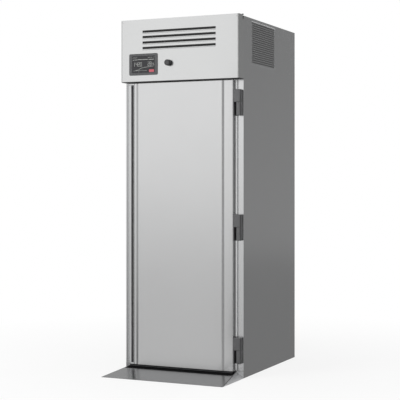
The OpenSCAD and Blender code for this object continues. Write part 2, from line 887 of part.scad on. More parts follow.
// Steel box of the controls and contactors, with its lid
module control_box() {
    box_w = 130;
    box_d = 300;
    box_h = 260;
    lid_t = 4;
    lid_inset = 10;
    color(steel_c) cabinet() translate([box_x, box_y, deck_top]) {
        cube([box_w, box_d, box_h]);
        translate([box_w, lid_inset, lid_inset])
            cube([lid_t, box_d - 2 * lid_inset, box_h - 2 * lid_inset]);
    }
}

// Steam generator that moistens the chamber, with its lid
module steam_generator() {
    lid_r = 50;
    lid_h = 14;
    color("white") cabinet() translate([boiler_x, boiler_y, deck_top]) {
        cube([boiler_w, boiler_d, boiler_h]);
        translate([boiler_w / 2, boiler_d / 2, boiler_h]) cylinder(r = lid_r, h = lid_h);
    }
}

// Steam pipe from the generator down into the air duct, with its outlets
module steam_pipe() {
    port_x = boiler_x + boiler_w / 2;
    outlets = 5;
    outlet_pitch = (steam_end - steam_x) / (outlets + 0.5);
    outlet_r = 5;
    outlet_l = 10;
    color(rubber_c) cabinet() {
        pipe([[port_x, boiler_y + boiler_d, steam_port_z], [port_x, steam_y, steam_port_z],
            [steam_x, steam_y, steam_port_z], [steam_x, steam_y, steam_z],
                [steam_end, steam_y, steam_z]], steam_r);
        for (i = [1 : outlets]) {
            bar_y(steam_x + i * outlet_pitch, steam_z, outlet_r, steam_y - steam_r - outlet_l,
                steam_y - steam_r / 2);
        }
    }
}

// Evaporator, a finned block between two end plates on the back lining
module evaporator_coil() {
    plate_t = 2;
    plate_lap = 10;
    color("silver") cabinet() {
        finned_coil(-coil_x, coil_x, coil_y, coil_y + coil_d, coil_z, coil_z + coil_h, coil_rows, pipe_r);
        for (x = [-coil_x, coil_x - plate_t]) {
            block([x, coil_y, coil_z - plate_lap],
                [x + plate_t, chamber_back, coil_z + coil_h + plate_lap]);
        }
    }
}

// Motors of the circulation fans, on crossed arms from the back lining
module evaporator_fan_motors() {
    motor_r = 30;
    shaft_l = 15;
    arm_w = 16;
    arm_l = 70;
    arm_t = 4;
    color(rubber_c) cabinet() for (side = [-1, 1]) translate([side * evap_fan_x, 0, evap_fan_z]) {
        bar_y(0, 0, motor_r, evap_motor_y, chamber_back - arm_t);
        bar_y(0, 0, shaft_r, evap_motor_y - shaft_l, evap_motor_y);
        block([-arm_l, chamber_back - arm_t, -arm_w / 2], [arm_l, chamber_back, arm_w / 2]);
        block([-arm_w / 2, chamber_back - arm_t, -arm_l], [arm_w / 2, chamber_back, arm_l]);
    }
}

// One circulation fan, bored for its motor's shaft
module evaporator_fan() {
    hub_r = 27;
    bore_l = 14;
    difference() {
        fan(evap_fan_r, hub_r, fan_depth, 5, 2, 30);
        translate([0, fan_depth - bore_l, 0]) rotate([-90, 0, 0])
            cylinder(r = shaft_r + pin_gap, h = bore_l + cut);
    }
}

module evaporator_fan_left() {
    color(dark_c) cabinet() translate([-evap_fan_x, evap_fan_y, evap_fan_z]) evaporator_fan();
}

module evaporator_fan_right() {
    color(dark_c) cabinet() translate([evap_fan_x, evap_fan_y, evap_fan_z]) evaporator_fan();
}

// Guards in front of the circulation fans, each a welded grid of rings and spokes
module fan_guards() {
    wire = 3;
    rings = 4;
    spokes = 3;
    outer_r = evap_hole_d / 2 + 6;
    color("silver") cabinet() for (side = [-1, 1]) along_y(duct_y - wire, duct_y)
        translate([side * evap_fan_x, evap_fan_z]) {
            for (i = [1 : rings]) difference() {
                circle(outer_r * i / rings);
                circle(outer_r * i / rings - wire);
            }
            for (i = [0 : spokes - 1]) {
                rotate(i * 180 / spokes) square([2 * outer_r - wire, wire], center = true);
            }
        }
}

// Tubular heater that warms the air for proving
module heater_element() {
    runs = 3;
    bend = 12;
    tube_r = 4;
    span = coil_x - 40;
    heater_y = coil_y + coil_d / 2;
    low_z = coil_z - 14 - (runs - 1) * 2 * bend;
    clip_w = 12;
    clip_lap = 6;
    color(rubber_c) cabinet() {
        for (i = [0 : runs - 1]) {
            bar_x(heater_y, low_z + i * 2 * bend, tube_r, -span, span);
        }
        translate([span, heater_y, low_z + bend]) return_bend(tube_r, bend);
        translate([-span, heater_y, low_z + 3 * bend]) mirror([1, 0, 0]) return_bend(tube_r, bend);
        for (x = [-span / 2, span / 2]) {
            block([x - clip_w / 2, heater_y - clip_lap, low_z - clip_lap],
                [x + clip_w / 2, chamber_back, low_z + (runs - 1) * 2 * bend + clip_lap]);
        }
    }
}

// Tray that catches the evaporator's water
module drain_tray() {
    tray_y = coil_y - 6;
    color(steel_c) cabinet() difference() {
        block([-tray_x, tray_y, tray_z - tray_h], [tray_x, chamber_back, tray_z]);
        block([-tray_x + sheet_t, tray_y + sheet_t, tray_z - tray_h + sheet_t],
            [tray_x - sheet_t, chamber_back - sheet_t, tray_z + cut]);
    }
}

// Drain pipe from the tray down the duct, with the spout behind the back panel
module drain_pipe() {
    start_x = tray_x - 2 * drain_r - 8;
    bend_z = tray_z - tray_h - 2 * drain_r + 2;
    color("gray") cabinet() {
        pipe([[start_x, drain_y, tray_z - tray_h], [start_x, drain_y, bend_z], [drain_x, drain_y, bend_z],
            [drain_x, drain_y, drain_z], [drain_x, body_d, drain_z]], drain_neck_r);
        bar_y(drain_x, drain_z, drain_r, body_d, body_d + drain_l);
    }
}

// Air duct panel, with the fan openings above and rows of air slots below
module air_duct_panel() {
    columns = 5;
    slot_len = 100;
    slot_gap = 32;
    slot_half = 5;
    color(steel_c) cabinet() {
        difference() {
            block([-duct_x, duct_y, duct_z], [duct_x, duct_y + sheet_t, header_z]);
            for (side = [-1, 1]) {
                bar_y(side * evap_fan_x, evap_fan_z, evap_hole_d / 2, duct_y - cut, duct_y + sheet_t + cut);
            }
            for (i = [0 : columns - 1], j = [0 : duct_rows - 1]) {
                x = (i - (columns - 1) / 2) * (slot_len + slot_gap);
                z = duct_z + 90 + j * duct_pitch;
                block([x - slot_len / 2, duct_y - cut, z - slot_half],
                    [x + slot_len / 2, duct_y + sheet_t + cut, z + slot_half]);
            }
        }
        for (side = [0, 1]) mirror([side, 0, 0])
            block([duct_x - sheet_t, duct_y, duct_z], [duct_x, chamber_back, header_z]);
    }
}

// Bumper rails that keep the trolley off the side walls
module bumper_rails() {
    slope = 10;
    color(steel_c) cabinet() for (side = [0, 1], z = [rail_low_z, rail_top_z]) mirror([side, 0, 0])
        along_y(jamb_d + 15, duct_y - 30) polygon([
            [chamber_x, z], [chamber_x, z + rail_h], [chamber_x - rail_d, z + rail_h - slope],
            [chamber_x - rail_d, z + slope]]);
}

// Light bar under the ceiling, behind the header
module chamber_lamp() {
    lamp_w = 460;
    lamp_d = 30;
    lamp_h = 12;
    lamp_y = jamb_d + 4;
    color("white") cabinet()
        block([-lamp_w / 2, lamp_y, ceiling_z - lamp_h], [lamp_w / 2, lamp_y + lamp_d, ceiling_z]);
}

// Probe that reads the air's temperature and moisture
module chamber_probe() {
    plate_w = 36;
    plate_t = 8;
    probe_r = 8;
    probe_l = 22;
    probe_y = duct_y - 60;
    probe_z = evap_fan_z - 220;
    face_x = chamber_x - plate_t;
    color(dark_c) cabinet() {
        block([face_x, probe_y - plate_w / 2, probe_z - plate_w / 2],
            [chamber_x, probe_y + plate_w / 2, probe_z + plate_w / 2]);
        bar_x(probe_y, probe_z, probe_r, face_x - probe_l, face_x);
    }
}

// Lower halves of the door hinges, on the front frame
module hinge_frame_leaves() {
    foot_x0 = knuckle_x0 - 7;
    foot_t = 4;
    front = door_face;
    color(dark_c) cabinet() for (z = hinge_zs) translate([0, 0, z - hinge_lower_h]) difference() {
        linear_extrude(hinge_lower_h) {
            polygon([[knuckle_x0, front + knuckle_r], [knuckle_x0 + knuckle_r, front],
                [knuckle_x1 - knuckle_r, front],
                [knuckle_x1, front + knuckle_r], [knuckle_x1, 0], [foot_x0, 0], [foot_x0, -foot_t],
                [knuckle_x0, -foot_t]]);
            for (x = [knuckle_x0 + knuckle_r, knuckle_x1 - knuckle_r]) {
                translate([x, front + knuckle_r]) circle(knuckle_r);
            }
        }
        translate([pin_x, pin_y, hinge_lower_h - pin_down]) cylinder(r = hinge_pin_r, h = hinge_lower_h);
    }
}

// Pins of the door hinges, and the long pin of the fascia's piano hinge
module hinge_pins() {
    color("silver") cabinet() {
        for (z = hinge_zs) {
            translate([pin_x, pin_y, z - pin_down]) cylinder(r = hinge_pin_r, h = pin_down + pin_up);
        }
        bar_x(piano_y, piano_z, piano_pin_r, -piano_half, piano_half);
    }
}

// Upper halves of the door hinges, with the leaf on the door's edge
module hinge_door_leaves() {
    front = door_face;
    leaf_y0 = front + 2;
    leaf_y1 = door_back - 2;
    color(dark_c) cabinet() for (z = hinge_zs) translate([0, 0, z]) {
        difference() {
            translate([0, 0, run_gap]) linear_extrude(hinge_upper_h - run_gap) {
                polygon([[door_x1, leaf_y1], [door_x1, front], [knuckle_x1, front],
                    [knuckle_x1, knuckle_back - knuckle_r], [knuckle_x1 - knuckle_r, knuckle_back],
                    [knuckle_x0, knuckle_back], [knuckle_x0 - 7, leaf_y1]]);
                translate([knuckle_x1 - knuckle_r, knuckle_back - knuckle_r]) circle(knuckle_r);
            }
            translate([pin_x, pin_y, -cut]) cylinder(r = hinge_pin_r + pin_gap, h = pin_up + 2 * cut);
        }
        block([door_x1, leaf_y0, -hinge_lower_h], [door_x1 + leaf_t, leaf_y1, run_gap + cut]);
    }
}

// Front outline of the door from the handle profile to the hinge edge, moved in by a sheet
function door_outline(inset) = [
    [skin_x0 + inset, door_back], [skin_x0 + inset, door_face + inset], [panel_x0, door_face + inset],
    [panel_x0 + bevel_w, panel_face + inset], [panel_x1 - bevel_w, panel_face + inset],
    [panel_x1, door_face + inset], [door_x1 - inset, door_face + inset], [door_x1 - inset, door_back]];

// Pressed outer skin of the door, open at the back
module door_skin() {
    color(steel_c) cabinet() difference() {
        translate([0, 0, door_bottom]) linear_extrude(door_h) polygon(door_outline(0));
        translate([0, 0, door_bottom + sheet_t]) linear_extrude(door_h - 2 * sheet_t)
            polygon(door_outline(sheet_t));
        block([skin_x0 - cut, door_back - sheet_t, door_bottom - cut],
            [door_x1 + cut, door_back + cut, door_top + cut]);
    }
}

// Profile along the free edge, whose groove is the handle
module handle_profile() {
    lip_y = door_face + lip_t;
    color("darkgray") cabinet() translate([0, 0, door_bottom]) difference() {
        linear_extrude(door_h) polygon([
            [door_x0, door_back - sheet_t], [door_x0, door_face], [skin_x0, door_face],
            [skin_x0, door_back - sheet_t]]);
        translate([0, 0, handle_end_h]) linear_extrude(door_h - 2 * handle_end_h) polygon([
            [groove_x0, door_face - cut], [groove_x1, door_face - cut], [groove_x1, groove_y1],
            [groove_x0 - undercut_w, groove_y1], [groove_x0 - undercut_w, lip_y], [groove_x0, lip_y]]);
    }
}

// Foam inside the door skin
module door_core() {
    color(foam_c) cabinet() intersection() {
        translate([0, 0, door_bottom + sheet_t]) linear_extrude(door_h - 2 * sheet_t)
            polygon(door_outline(sheet_t));
        block([door_x0, panel_face, door_bottom], [door_x1, door_back - sheet_t, door_top]);
    }
}

// Inner lining of the door, pressed out inside the gasket
module door_liner() {
    field = gasket_inset + gasket_w + 8;
    color(steel_c) cabinet() {
        block([door_x0, door_back - sheet_t, door_bottom], [door_x1, door_back, door_top]);
        block([door_x0 + field, door_back - sheet_t, door_bottom + gasket_w],
            [door_x1 - field, door_back + 3, door_top - field]);
    }
}

// Magnetic gasket down both edges and across the top of the door
module door_gasket() {
    x0 = door_x0 + gasket_inset;
    x1 = door_x1 - gasket_inset;
    z1 = door_top - gasket_inset;
    color(rubber_c) cabinet() along_y(door_back, -seal_gap) polygon([
        [x0, door_bottom], [x0, z1], [x1, z1], [x1, door_bottom], [x1 - gasket_w, door_bottom],
        [x1 - gasket_w, z1 - gasket_w], [x0 + gasket_w, z1 - gasket_w], [x0 + gasket_w, door_bottom]]);
}

// Sweep seal under the door, close over the ramp
module door_sweep() {
    color(rubber_c) cabinet()
        block([door_x0 + gasket_inset, sweep_back - sweep_t, sweep_z],
            [door_x1 - gasket_inset, sweep_back, door_bottom]);
}

// Outline of the fascia seen from above, with round front corners
module fascia_plan(inset) {
    x = half_w - inset;
    y = fascia_face + inset;
    r = fascia_r - inset;
    translate([-x, y + r]) square([2 * x, fascia_back - y - r]);
    translate([-x + r, y]) square([2 * x - 2 * r, r + 1]);
    for (side = [-1, 1]) translate([side * (x - r), y + r]) circle(r);
}

// Fascia, one folded sheet with louvres and openings for the display and the knob
module fascia_shell() {
    color(steel_c) cabinet() {
        difference() {
            translate([0, 0, fascia_z]) linear_extrude(fascia_h) fascia_plan(0);
            translate([0, 0, fascia_z + sheet_t]) linear_extrude(fascia_h - 2 * sheet_t)
                fascia_plan(sheet_t);
            block([-half_w + sheet_t, fascia_back - 4, fascia_z + sheet_t],
                [half_w - sheet_t, 0, fascia_top - sheet_t]);
            block([-half_w - cut, piano_y - piano_r - 1, fascia_top - 30],
                [half_w + cut, 0, fascia_top + cut]);
            for (i = [0 : slot_count - 1]) {
                z = slot_top - i * slot_pitch;
                block([-slot_x, fascia_face - cut, z - slot_h / 2],
                    [slot_x, fascia_face + sheet_t + cut, z + slot_h / 2]);
            }
            block([bezel_x - bezel_w / 2 + bezel_fit, fascia_face - cut,
                bezel_zc - bezel_h / 2 + bezel_fit],
                [bezel_x + bezel_w / 2 - bezel_fit, fascia_face + sheet_t + cut,
                    bezel_zc + bezel_h / 2 - bezel_fit]);
            bar_y(knob_x, knob_zc, knob_hole_r, fascia_face - cut, fascia_face + sheet_t + cut);
        }
        for (i = [0 : slot_count - 1]) {
            z = slot_top - i * slot_pitch - slot_h / 2;
            along_x(-slot_x, slot_x) polygon([
                [fascia_face, z], [fascia_face - slot_lip_d, z - slot_lip_h / 3],
                    [fascia_face, z - slot_lip_h]]);
        }
    }
}

// Moving knuckles of the piano hinge, with their leaf under the fascia's top
module fascia_hinge_leaf() {
    color(steel_c) cabinet()
        piano_knuckles(1, piano_y - piano_leaf_d, piano_y - piano_pin_r - 1, fascia_top - sheet_t - 2,
            fascia_top - sheet_t);
}

// Surround of the display
module display_bezel() {
    face = fascia_face - bezel_rise;
    color(dark_c) cabinet() difference() {
        along_y(face, fascia_face) translate([bezel_x, bezel_zc]) round_rect(bezel_w, bezel_h, bezel_r);
        along_y(face - cut, fascia_face + cut) translate([bezel_x, bezel_zc])
            square([screen_w, screen_h], center = true);
    }
}

// Glass of the display
module display_glass() {
    color("black") cabinet() along_y(fascia_face - bezel_rise + 0.5, fascia_face)
        translate([bezel_x, bezel_zc]) square([screen_w, screen_h], center = true);
}

// Housing of the display's electronics, with the arm and the block that hold the knob's encoder
module control_module() {
    half_mw = bezel_w / 2 - bezel_fit - 1;
    half_mh = bezel_h / 2 - bezel_fit - 1;
    hub_r = 14;
    arm_h = 24;
    arm_t = 4;
    arm_y = fascia_face + sheet_t + 6;
    color(rubber_c) cabinet() {
        block([bezel_x - half_mw, fascia_face, bezel_zc - half_mh],
            [bezel_x + half_mw, fascia_face + module_d, bezel_zc + half_mh]);
        difference() {
            union() {
                block([bezel_x + half_mw, arm_y, knob_zc - arm_h / 2],
                    [knob_x, arm_y + arm_t, knob_zc + arm_h / 2]);
                bar_y(knob_x, knob_zc, hub_r, fascia_face + sheet_t, fascia_face + module_d);
            }
            bar_y(knob_x, knob_zc, shaft_r + pin_gap, fascia_face,
                fascia_face + sheet_t + shaft_inside + 2);
        }
    }
}

// Shaft between the encoder and the knob
module encoder_shaft() {
    color("silver") cabinet()
        bar_y(knob_x, knob_zc, shaft_r, fascia_face - knob_gap - knob_bore_l + 1,
            fascia_face + sheet_t + shaft_inside);
}

// Knob with a waisted skirt, a dished front and a blind bore for the shaft
module control_knob() {
    r = knob_d / 2;
    skirt_h = 5;
    waist = 1;
    rim = 3;
    dish = 1.5;
    color(dark_c) cabinet() translate([knob_x, fascia_face - knob_gap, knob_zc]) rotate([90, 0, 0])
        difference() {
        rotate_extrude() polygon([[0, 0], [r, 0], [r, skirt_h], [r - waist, skirt_h + waist],
            [r - dish, knob_l - dish],
            [r - rim, knob_l], [r - 2 * rim, knob_l], [r - 2 * rim - dish, knob_l - dish],
                [0, knob_l - dish]]);
        translate([0, 0, -cut]) cylinder(r = shaft_r + pin_gap, h = knob_bore_l + cut);
    }
}

// Gland for the supply cable, with a nut on each side of the back panel
module cable_gland() {
    nut_r = gland_r + 5;
    inner_l = 12;
    outer_l = 22;
    inner_nut = 6;
    outer_nut = 8;
    color(rubber_c) cabinet() {
        bar_y(-inlet_x, inlet_z, gland_r, shell_back - inner_l, body_d + outer_l);
        translate([-inlet_x, body_d + outer_nut, inlet_z]) rotate([90, 0, 0])
            cylinder(r = nut_r, h = outer_nut, $fn = 6);
        translate([-inlet_x, shell_back, inlet_z]) rotate([90, 0, 0])
            cylinder(r = nut_r, h = inner_nut, $fn = 6);
    }
}

// Water inlet of the steam generator, a stub with a nut inside the back panel
module water_inlet() {
    inner_l = 20;
    nut_t = 6;
    color("gold") cabinet() {
        bar_y(inlet_x, inlet_z, inlet_neck_r, shell_back - inner_l, body_d);
        bar_y(inlet_x, inlet_z, inlet_r, body_d, body_d + inlet_l);
        bar_y(inlet_x, inlet_z, inlet_r + nut_t, shell_back - nut_t, shell_back);
    }
}

floor_core();
floor_plate();
access_ramp();
side_panel_left();
side_panel_right();
back_panel();
roof_panel();
wall_insulation();
liner_sides();
liner_back();
liner_ceiling();
frame_jambs();
frame_header();
vent_grilles();
machine_tray();
fascia_posts();
fascia_rail();
compressor();
compressor_mounts();
condenser_coil();
fan_shroud();
condenser_fan_motor();
liquid_receiver();
filter_drier();
refrigerant_pipes();
control_box();
steam_generator();
steam_pipe();
evaporator_coil();
evaporator_fan_motors();
fan_guards();
heater_element();
drain_tray();
drain_pipe();
air_duct_panel();
bumper_rails();
chamber_lamp();
chamber_probe();
hinge_frame_leaves();
hinge_pins();
cable_gland();
water_inlet();
door_skin();
handle_profile();
door_core();
door_liner();
door_gasket();
door_sweep();
hinge_door_leaves();
fascia_shell();
fascia_hinge_leaf();
display_bezel();
display_glass();
control_module();
encoder_shaft();
control_knob();
condenser_fan();
evaporator_fan_left();
evaporator_fan_right();
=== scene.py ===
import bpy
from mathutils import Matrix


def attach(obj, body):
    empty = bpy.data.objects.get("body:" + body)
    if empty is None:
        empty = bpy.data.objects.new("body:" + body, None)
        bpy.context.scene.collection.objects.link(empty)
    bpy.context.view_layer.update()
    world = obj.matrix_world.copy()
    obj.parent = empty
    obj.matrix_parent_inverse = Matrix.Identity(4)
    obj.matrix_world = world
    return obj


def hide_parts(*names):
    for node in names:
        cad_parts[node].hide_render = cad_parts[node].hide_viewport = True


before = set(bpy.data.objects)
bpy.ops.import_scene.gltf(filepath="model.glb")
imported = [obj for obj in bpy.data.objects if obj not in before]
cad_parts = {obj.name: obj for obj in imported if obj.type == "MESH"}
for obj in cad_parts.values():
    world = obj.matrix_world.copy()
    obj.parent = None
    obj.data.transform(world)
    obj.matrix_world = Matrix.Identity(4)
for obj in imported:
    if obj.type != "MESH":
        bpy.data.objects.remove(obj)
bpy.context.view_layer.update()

import math
import bmesh
import bpy
import numpy as np

# ---- Studio ----
# The cabinet stands on a pale floor in a white room with soft lamps. Grey cards outside the view
# give the bare steel something darker to mirror on its side and along its folds.
def joint(tree, source, target):
    """Links an output socket to an input socket."""
    tree.links.new(source, target)


def added(tree, kind, operation=None, **values):
    """A new node in a shader tree, with its operation. Values go by their sockets' names, with an
    underscore for each space."""
    node = tree.nodes.new("ShaderNode" + kind)
    if operation:
        node.operation = operation
    for word, value in values.items():
        node.inputs[word.replace("_", " ")].default_value = value
    return node


def seen_plainly(tree):
    """1 for a ray from the camera, from a mirror or through glass, and 0 for light that falls on things."""
    rays = added(tree, "LightPath")
    answer = rays.outputs["Is Camera Ray"]
    for kind in ("Is Glossy Ray", "Is Transmission Ray"):
        either = added(tree, "Math", "MAXIMUM")
        joint(tree, answer, either.inputs[0])
        joint(tree, rays.outputs[kind], either.inputs[1])
        answer = either.outputs[0]
    return answer


room = bpy.data.worlds.new("studio_room")
bpy.context.scene.world = room
room.use_nodes = True
air = room.node_tree
room_level = added(air, "MapRange", To_Min=0.62, To_Max=1.0)
joint(air, seen_plainly(air), room_level.inputs["Value"])
air.nodes["Background"].inputs["Color"].default_value = (1, 1, 1, 1)
joint(air, room_level.outputs["Result"], air.nodes["Background"].inputs["Strength"])
bpy.context.scene.view_settings.view_transform = "Standard"

lens = bpy.data.cameras.new("photo_camera")
lens.lens = 101.68
lens.sensor_width = 36
lens.shift_y = -0.0535
lens.clip_end = 200
camera = bpy.data.objects.new("photo_camera", lens)
camera.location = (3.297, -7.3945, 1.3207)
camera.rotation_euler = (math.radians(90), 0, math.radians(24.7))
bpy.context.scene.collection.objects.link(camera)
bpy.context.scene.camera = camera


def soft_lamp(name, place, aim, size, watts):
    """A square lamp of that size at place, turned so that it shines at aim. Steel doesn't mirror its
    outline."""
    light = bpy.data.lights.new(name, "AREA")
    light.size = size
    light.energy = watts
    lamp = bpy.data.objects.new(name, light)
    lamp.location = place
    back = np.array(place, float) - np.array(aim, float)
    flat = math.hypot(back[0], back[1])
    lamp.rotation_euler = (math.atan2(flat, back[2]), 0, math.atan2(back[0], -back[1]))
    lamp.visible_glossy = False
    bpy.context.scene.collection.objects.link(lamp)


soft_lamp("key_lamp", (-3.2, -5.2, 4.4), (0, 0, 1.1), 3.0, 150)
soft_lamp("front_lamp", (2.6, -6.0, 2.6), (0, 0, 1.2), 2.5, 60)
soft_lamp("back_lamp", (1.5, 5.5, 3.8), (0, 0, 1.2), 3.0, 60)


def dim_card(name, points, rows, greys):
    """A card through rows of points that only mirrored rays see. Its grey runs evenly from the first to
    the last of greys along each row."""
    across = len(points) // rows
    mesh = bpy.data.meshes.new(name)
    cells = [(i, i + 1, i + 1 + across, i + across)
             for j in range(rows - 1) for i in range(j * across, (j + 1) * across - 1)]
    mesh.from_pydata(points.tolist(), [], cells)
    grey = bpy.data.materials.new(name)
    grey.use_nodes = True
    glow = added(grey.node_tree, "Emission")
    shade = added(grey.node_tree, "Attribute")
    shade.attribute_name = "level"
    levels = mesh.attributes.new("level", "FLOAT", "POINT")
    levels.data.foreach_set("value", np.tile(np.linspace(greys[0], greys[-1], across), rows))
    joint(grey.node_tree, shade.outputs["Fac"], glow.inputs["Strength"])
    joint(grey.node_tree, glow.outputs[0], grey.node_tree.nodes["Material Output"].inputs["Surface"])
    mesh.materials.append(grey)
    card = bpy.data.objects.new(name, mesh)
    bpy.context.scene.collection.objects.link(card)
    card.visible_camera = False
    card.visible_diffuse = False
    card.visible_shadow = False
    card.visible_transmission = False


def round_the_room(start, end, near, far, low, high):
    """Points on an arc round the cabinet between two headings, in degrees from the front towards the
    right: the sine and cosine of the heading times the distance, near and low first, then far and high."""
    heading = np.radians(np.linspace(start, end, 25))
    return np.concatenate([np.column_stack([r * np.sin(heading), -r * np.cos(heading), z + 0 * heading])
                           for r, z in ((near, low), (far, high))])


def upwards(points):
    """The same points with each low one followed by the one over it, so that a card's grey changes with
    height."""
    return points.reshape(2, -1, 3).swapaxes(0, 1).reshape(-1, 3)


# Each card spans two headings, two distances and two heights. Its grey is even, or changes round the
# room, or climbs with the height. Two cards start a step aside, at the ramp's two sloping ends.
wall, under, beside, inner = 12, -0.0003, -0.0002, 0.02
for name, span, climbs, greys, aside in (
        ("fold_side_card", (-7, 13, wall, wall, 0, 9), False, (0.37,), 0),
        ("camera_side_card", (13, 30, wall, wall, 0, 9), False, (0.95,), 0),
        ("right_side_card", (30, 164, wall, wall, 0, 7.5), True, (0.29, 0.21), 0),
        ("right_back_card", (164, 215, wall, wall, 0, 5.3), False, (0.29, 0.6), 0),
        ("left_back_card", (215, 255, wall, wall, 0, 5.3), False, (0.6, 0.52), 0),
        ("left_side_card", (-105, -43, wall, wall, 0, 9), True, (0.4, 0.95), 0),
        ("front_horizon_card", (-43, -8, wall, wall, 0, 2.0), True, (0.72, 1.0), 0),
        ("left_floor_card", (-105, -43, inner, wall, under, under), True, (0.25, 0.39), 0),
        ("front_floor_card", (-43, -8, inner, wall, under, under), False, (0.63,), 0),
        ("near_floor_card", (-8, 9, inner, 2.2, under, under), False, (0.63,), 0),
        ("fold_floor_card", (-8, 9, 2.2, wall, under, under), False, (0.33,), 0),
        ("right_slope_card", (-3, 15, 0.18, 6, beside, beside), False, (0.3,), (0.31, -0.54, 0)),
        ("left_slope_card", (-75, -40, 0.12, 6, beside, beside), True, (0.17, 0.32), (-0.33, -0.5, 0)),
        ("side_fold_floor_card", (9, 14, inner, wall, under, under), False, (0.33,), 0),
        ("camera_floor_card", (14, 30, inner, wall, under, under), False, (0.85,), 0),
        ("right_floor_card", (30, 160, inner, wall, under, under), False, (0.22,), 0),
        ("right_back_floor_card", (160, 215, inner, wall, under, under), False, (0.22, 0.5), 0),
        ("left_back_floor_card", (215, 255, inner, wall, under, under), False, (0.5, 0.42), 0)):
    points = round_the_room(*span) + aside
    dim_card(name, upwards(points) if climbs else points, 25 if climbs else 2, greys)

floor_radius, floor_drop, floor_sides = 30, 0.0008, 96
ring = np.linspace(0, 2 * np.pi, floor_sides, endpoint=False)
round_floor = np.stack([floor_radius * np.cos(ring), floor_radius * np.sin(ring), 0 * ring - floor_drop], -1)
ground_mesh = bpy.data.meshes.new("studio_floor")
ground_mesh.from_pydata(round_floor.tolist(), [], [list(range(floor_sides))])
ground = bpy.data.objects.new("studio_floor", ground_mesh)
bpy.context.scene.collection.objects.link(ground)
pale = bpy.data.materials.new("studio_floor")
pale.use_nodes = True
tree = pale.node_tree
cover = tree.nodes["Principled BSDF"]
cover.inputs["Base Color"].default_value = (0.9, 0.9, 0.9, 1)
cover.inputs["Roughness"].default_value = 0.75
cover.inputs["Specular IOR Level"].default_value = 0.2
# What the camera sees of the floor is paper white far out, and a little greyer round the cabinet.
paper, blend = added(tree, "Emission"), added(tree, "MixShader")
spot, reach = added(tree, "TexCoord"), added(tree, "VectorMath", "LENGTH")
fade = added(tree, "MapRange", From_Min=0.9, From_Max=3.0, To_Min=0.8, To_Max=1.0)
only_seen = added(tree, "Math", "MULTIPLY")
joint(tree, spot.outputs["Object"], reach.inputs[0])
joint(tree, reach.outputs["Value"], fade.inputs["Value"])
joint(tree, fade.outputs["Result"], only_seen.inputs[0])
joint(tree, seen_plainly(tree), only_seen.inputs[1])
joint(tree, only_seen.outputs[0], blend.inputs["Fac"])
joint(tree, cover.outputs[0], blend.inputs[1])
joint(tree, paper.outputs[0], blend.inputs[2])
joint(tree, blend.outputs[0], tree.nodes["Material Output"].inputs["Surface"])
ground_mesh.materials.append(pale)

# ---- Insulated floor ----
# A slab of foam under a stainless plate that the trolley rolls over. The plate is scuffed by its
# wheels, and its edges turn up behind the linings.
half_depth = 493.5


def in_place(points):
    """Millimetres from the ground, the middle and the front frame, as metres of the row frame."""
    return (np.asarray(points, float) - (0, half_depth, 0)) / 1000


def blank_finish(name, roughness, metallic):
    """A Principled material with its two plain numbers set, and the tree and shader that later colours
    and heights go into."""
    material = bpy.data.materials.new(name)
    material.use_nodes = True
    tree = material.node_tree
    shader = tree.nodes["Principled BSDF"]
    shader.inputs["Roughness"].default_value = roughness
    shader.inputs["Metallic"].default_value = metallic
    return material, tree, shader


def two_tone(tree, factor, dark, light):
    """A colour between two, by a factor that changes over the surface."""
    mix = added(tree, "Mix")
    mix.data_type = "RGBA"
    mix.inputs[6].default_value = (*dark, 1)
    mix.inputs[7].default_value = (*light, 1)
    joint(tree, factor, mix.inputs["Factor"])
    return mix.outputs[2]


def ranged(tree, value, low, high):
    """A value of 0 to 1 moved to the range low to high."""
    remap = added(tree, "MapRange", To_Min=low, To_Max=high)
    joint(tree, value, remap.inputs["Value"])
    return remap.outputs["Result"]


def raised(tree, shader, height, depth):
    """Bumps the surface by a height of 0 to 1, as deep as depth in metres."""
    bump = added(tree, "Bump", Strength=1.0, Distance=depth)
    joint(tree, height, bump.inputs["Height"])
    joint(tree, bump.outputs["Normal"], shader.inputs["Normal"])


def pattern_group(name, outputs):
    """An empty shader group with a Stretch vector, whose Object coordinates are multiplied by it."""
    group = bpy.data.node_groups.new(name, "ShaderNodeTree")
    group.interface.new_socket("Stretch", in_out="INPUT", socket_type="NodeSocketVector")
    for word in outputs:
        group.interface.new_socket(word, in_out="OUTPUT", socket_type="NodeSocketFloat")
    start = group.nodes.new("NodeGroupInput")
    end = group.nodes.new("NodeGroupOutput")
    place, times = added(group, "TexCoord"), added(group, "VectorMath", "MULTIPLY")
    joint(group, place.outputs["Object"], times.inputs[0])
    joint(group, start.outputs["Stretch"], times.inputs[1])
    return group, place.outputs["Object"], times.outputs["Vector"], end


def cloud(group, vector, scale, detail, roughness=0.6):
    """Noise of 0 to 1 over a vector."""
    noise = added(group, "TexNoise", Scale=scale, Detail=detail, Roughness=roughness)
    joint(group, vector, noise.inputs["Vector"])
    return noise.outputs["Fac"]


brushed, plain_place, stretched, ends = pattern_group("brushed_sheet", ["Grain", "Patch", "Height"])
grain = cloud(brushed, stretched, scale=1.0, detail=5, roughness=0.7)
patch = cloud(brushed, plain_place, scale=2.1, detail=2)
wave = cloud(brushed, plain_place, scale=3.4, detail=1)
lift = added(brushed, "Math", "MULTIPLY_ADD")
lift.inputs[1].default_value = 0.05
joint(brushed, grain, lift.inputs[0])
joint(brushed, wave, lift.inputs[2])
joint(brushed, grain, ends.inputs["Grain"])
joint(brushed, patch, ends.inputs["Patch"])
joint(brushed, lift.outputs[0], ends.inputs["Height"])


def placed_group(tree, group, stretch):
    """One use of a shader group in a material, with its own stretch."""
    node = added(tree, "Group")
    node.node_tree = group
    node.inputs["Stretch"].default_value = stretch
    return node


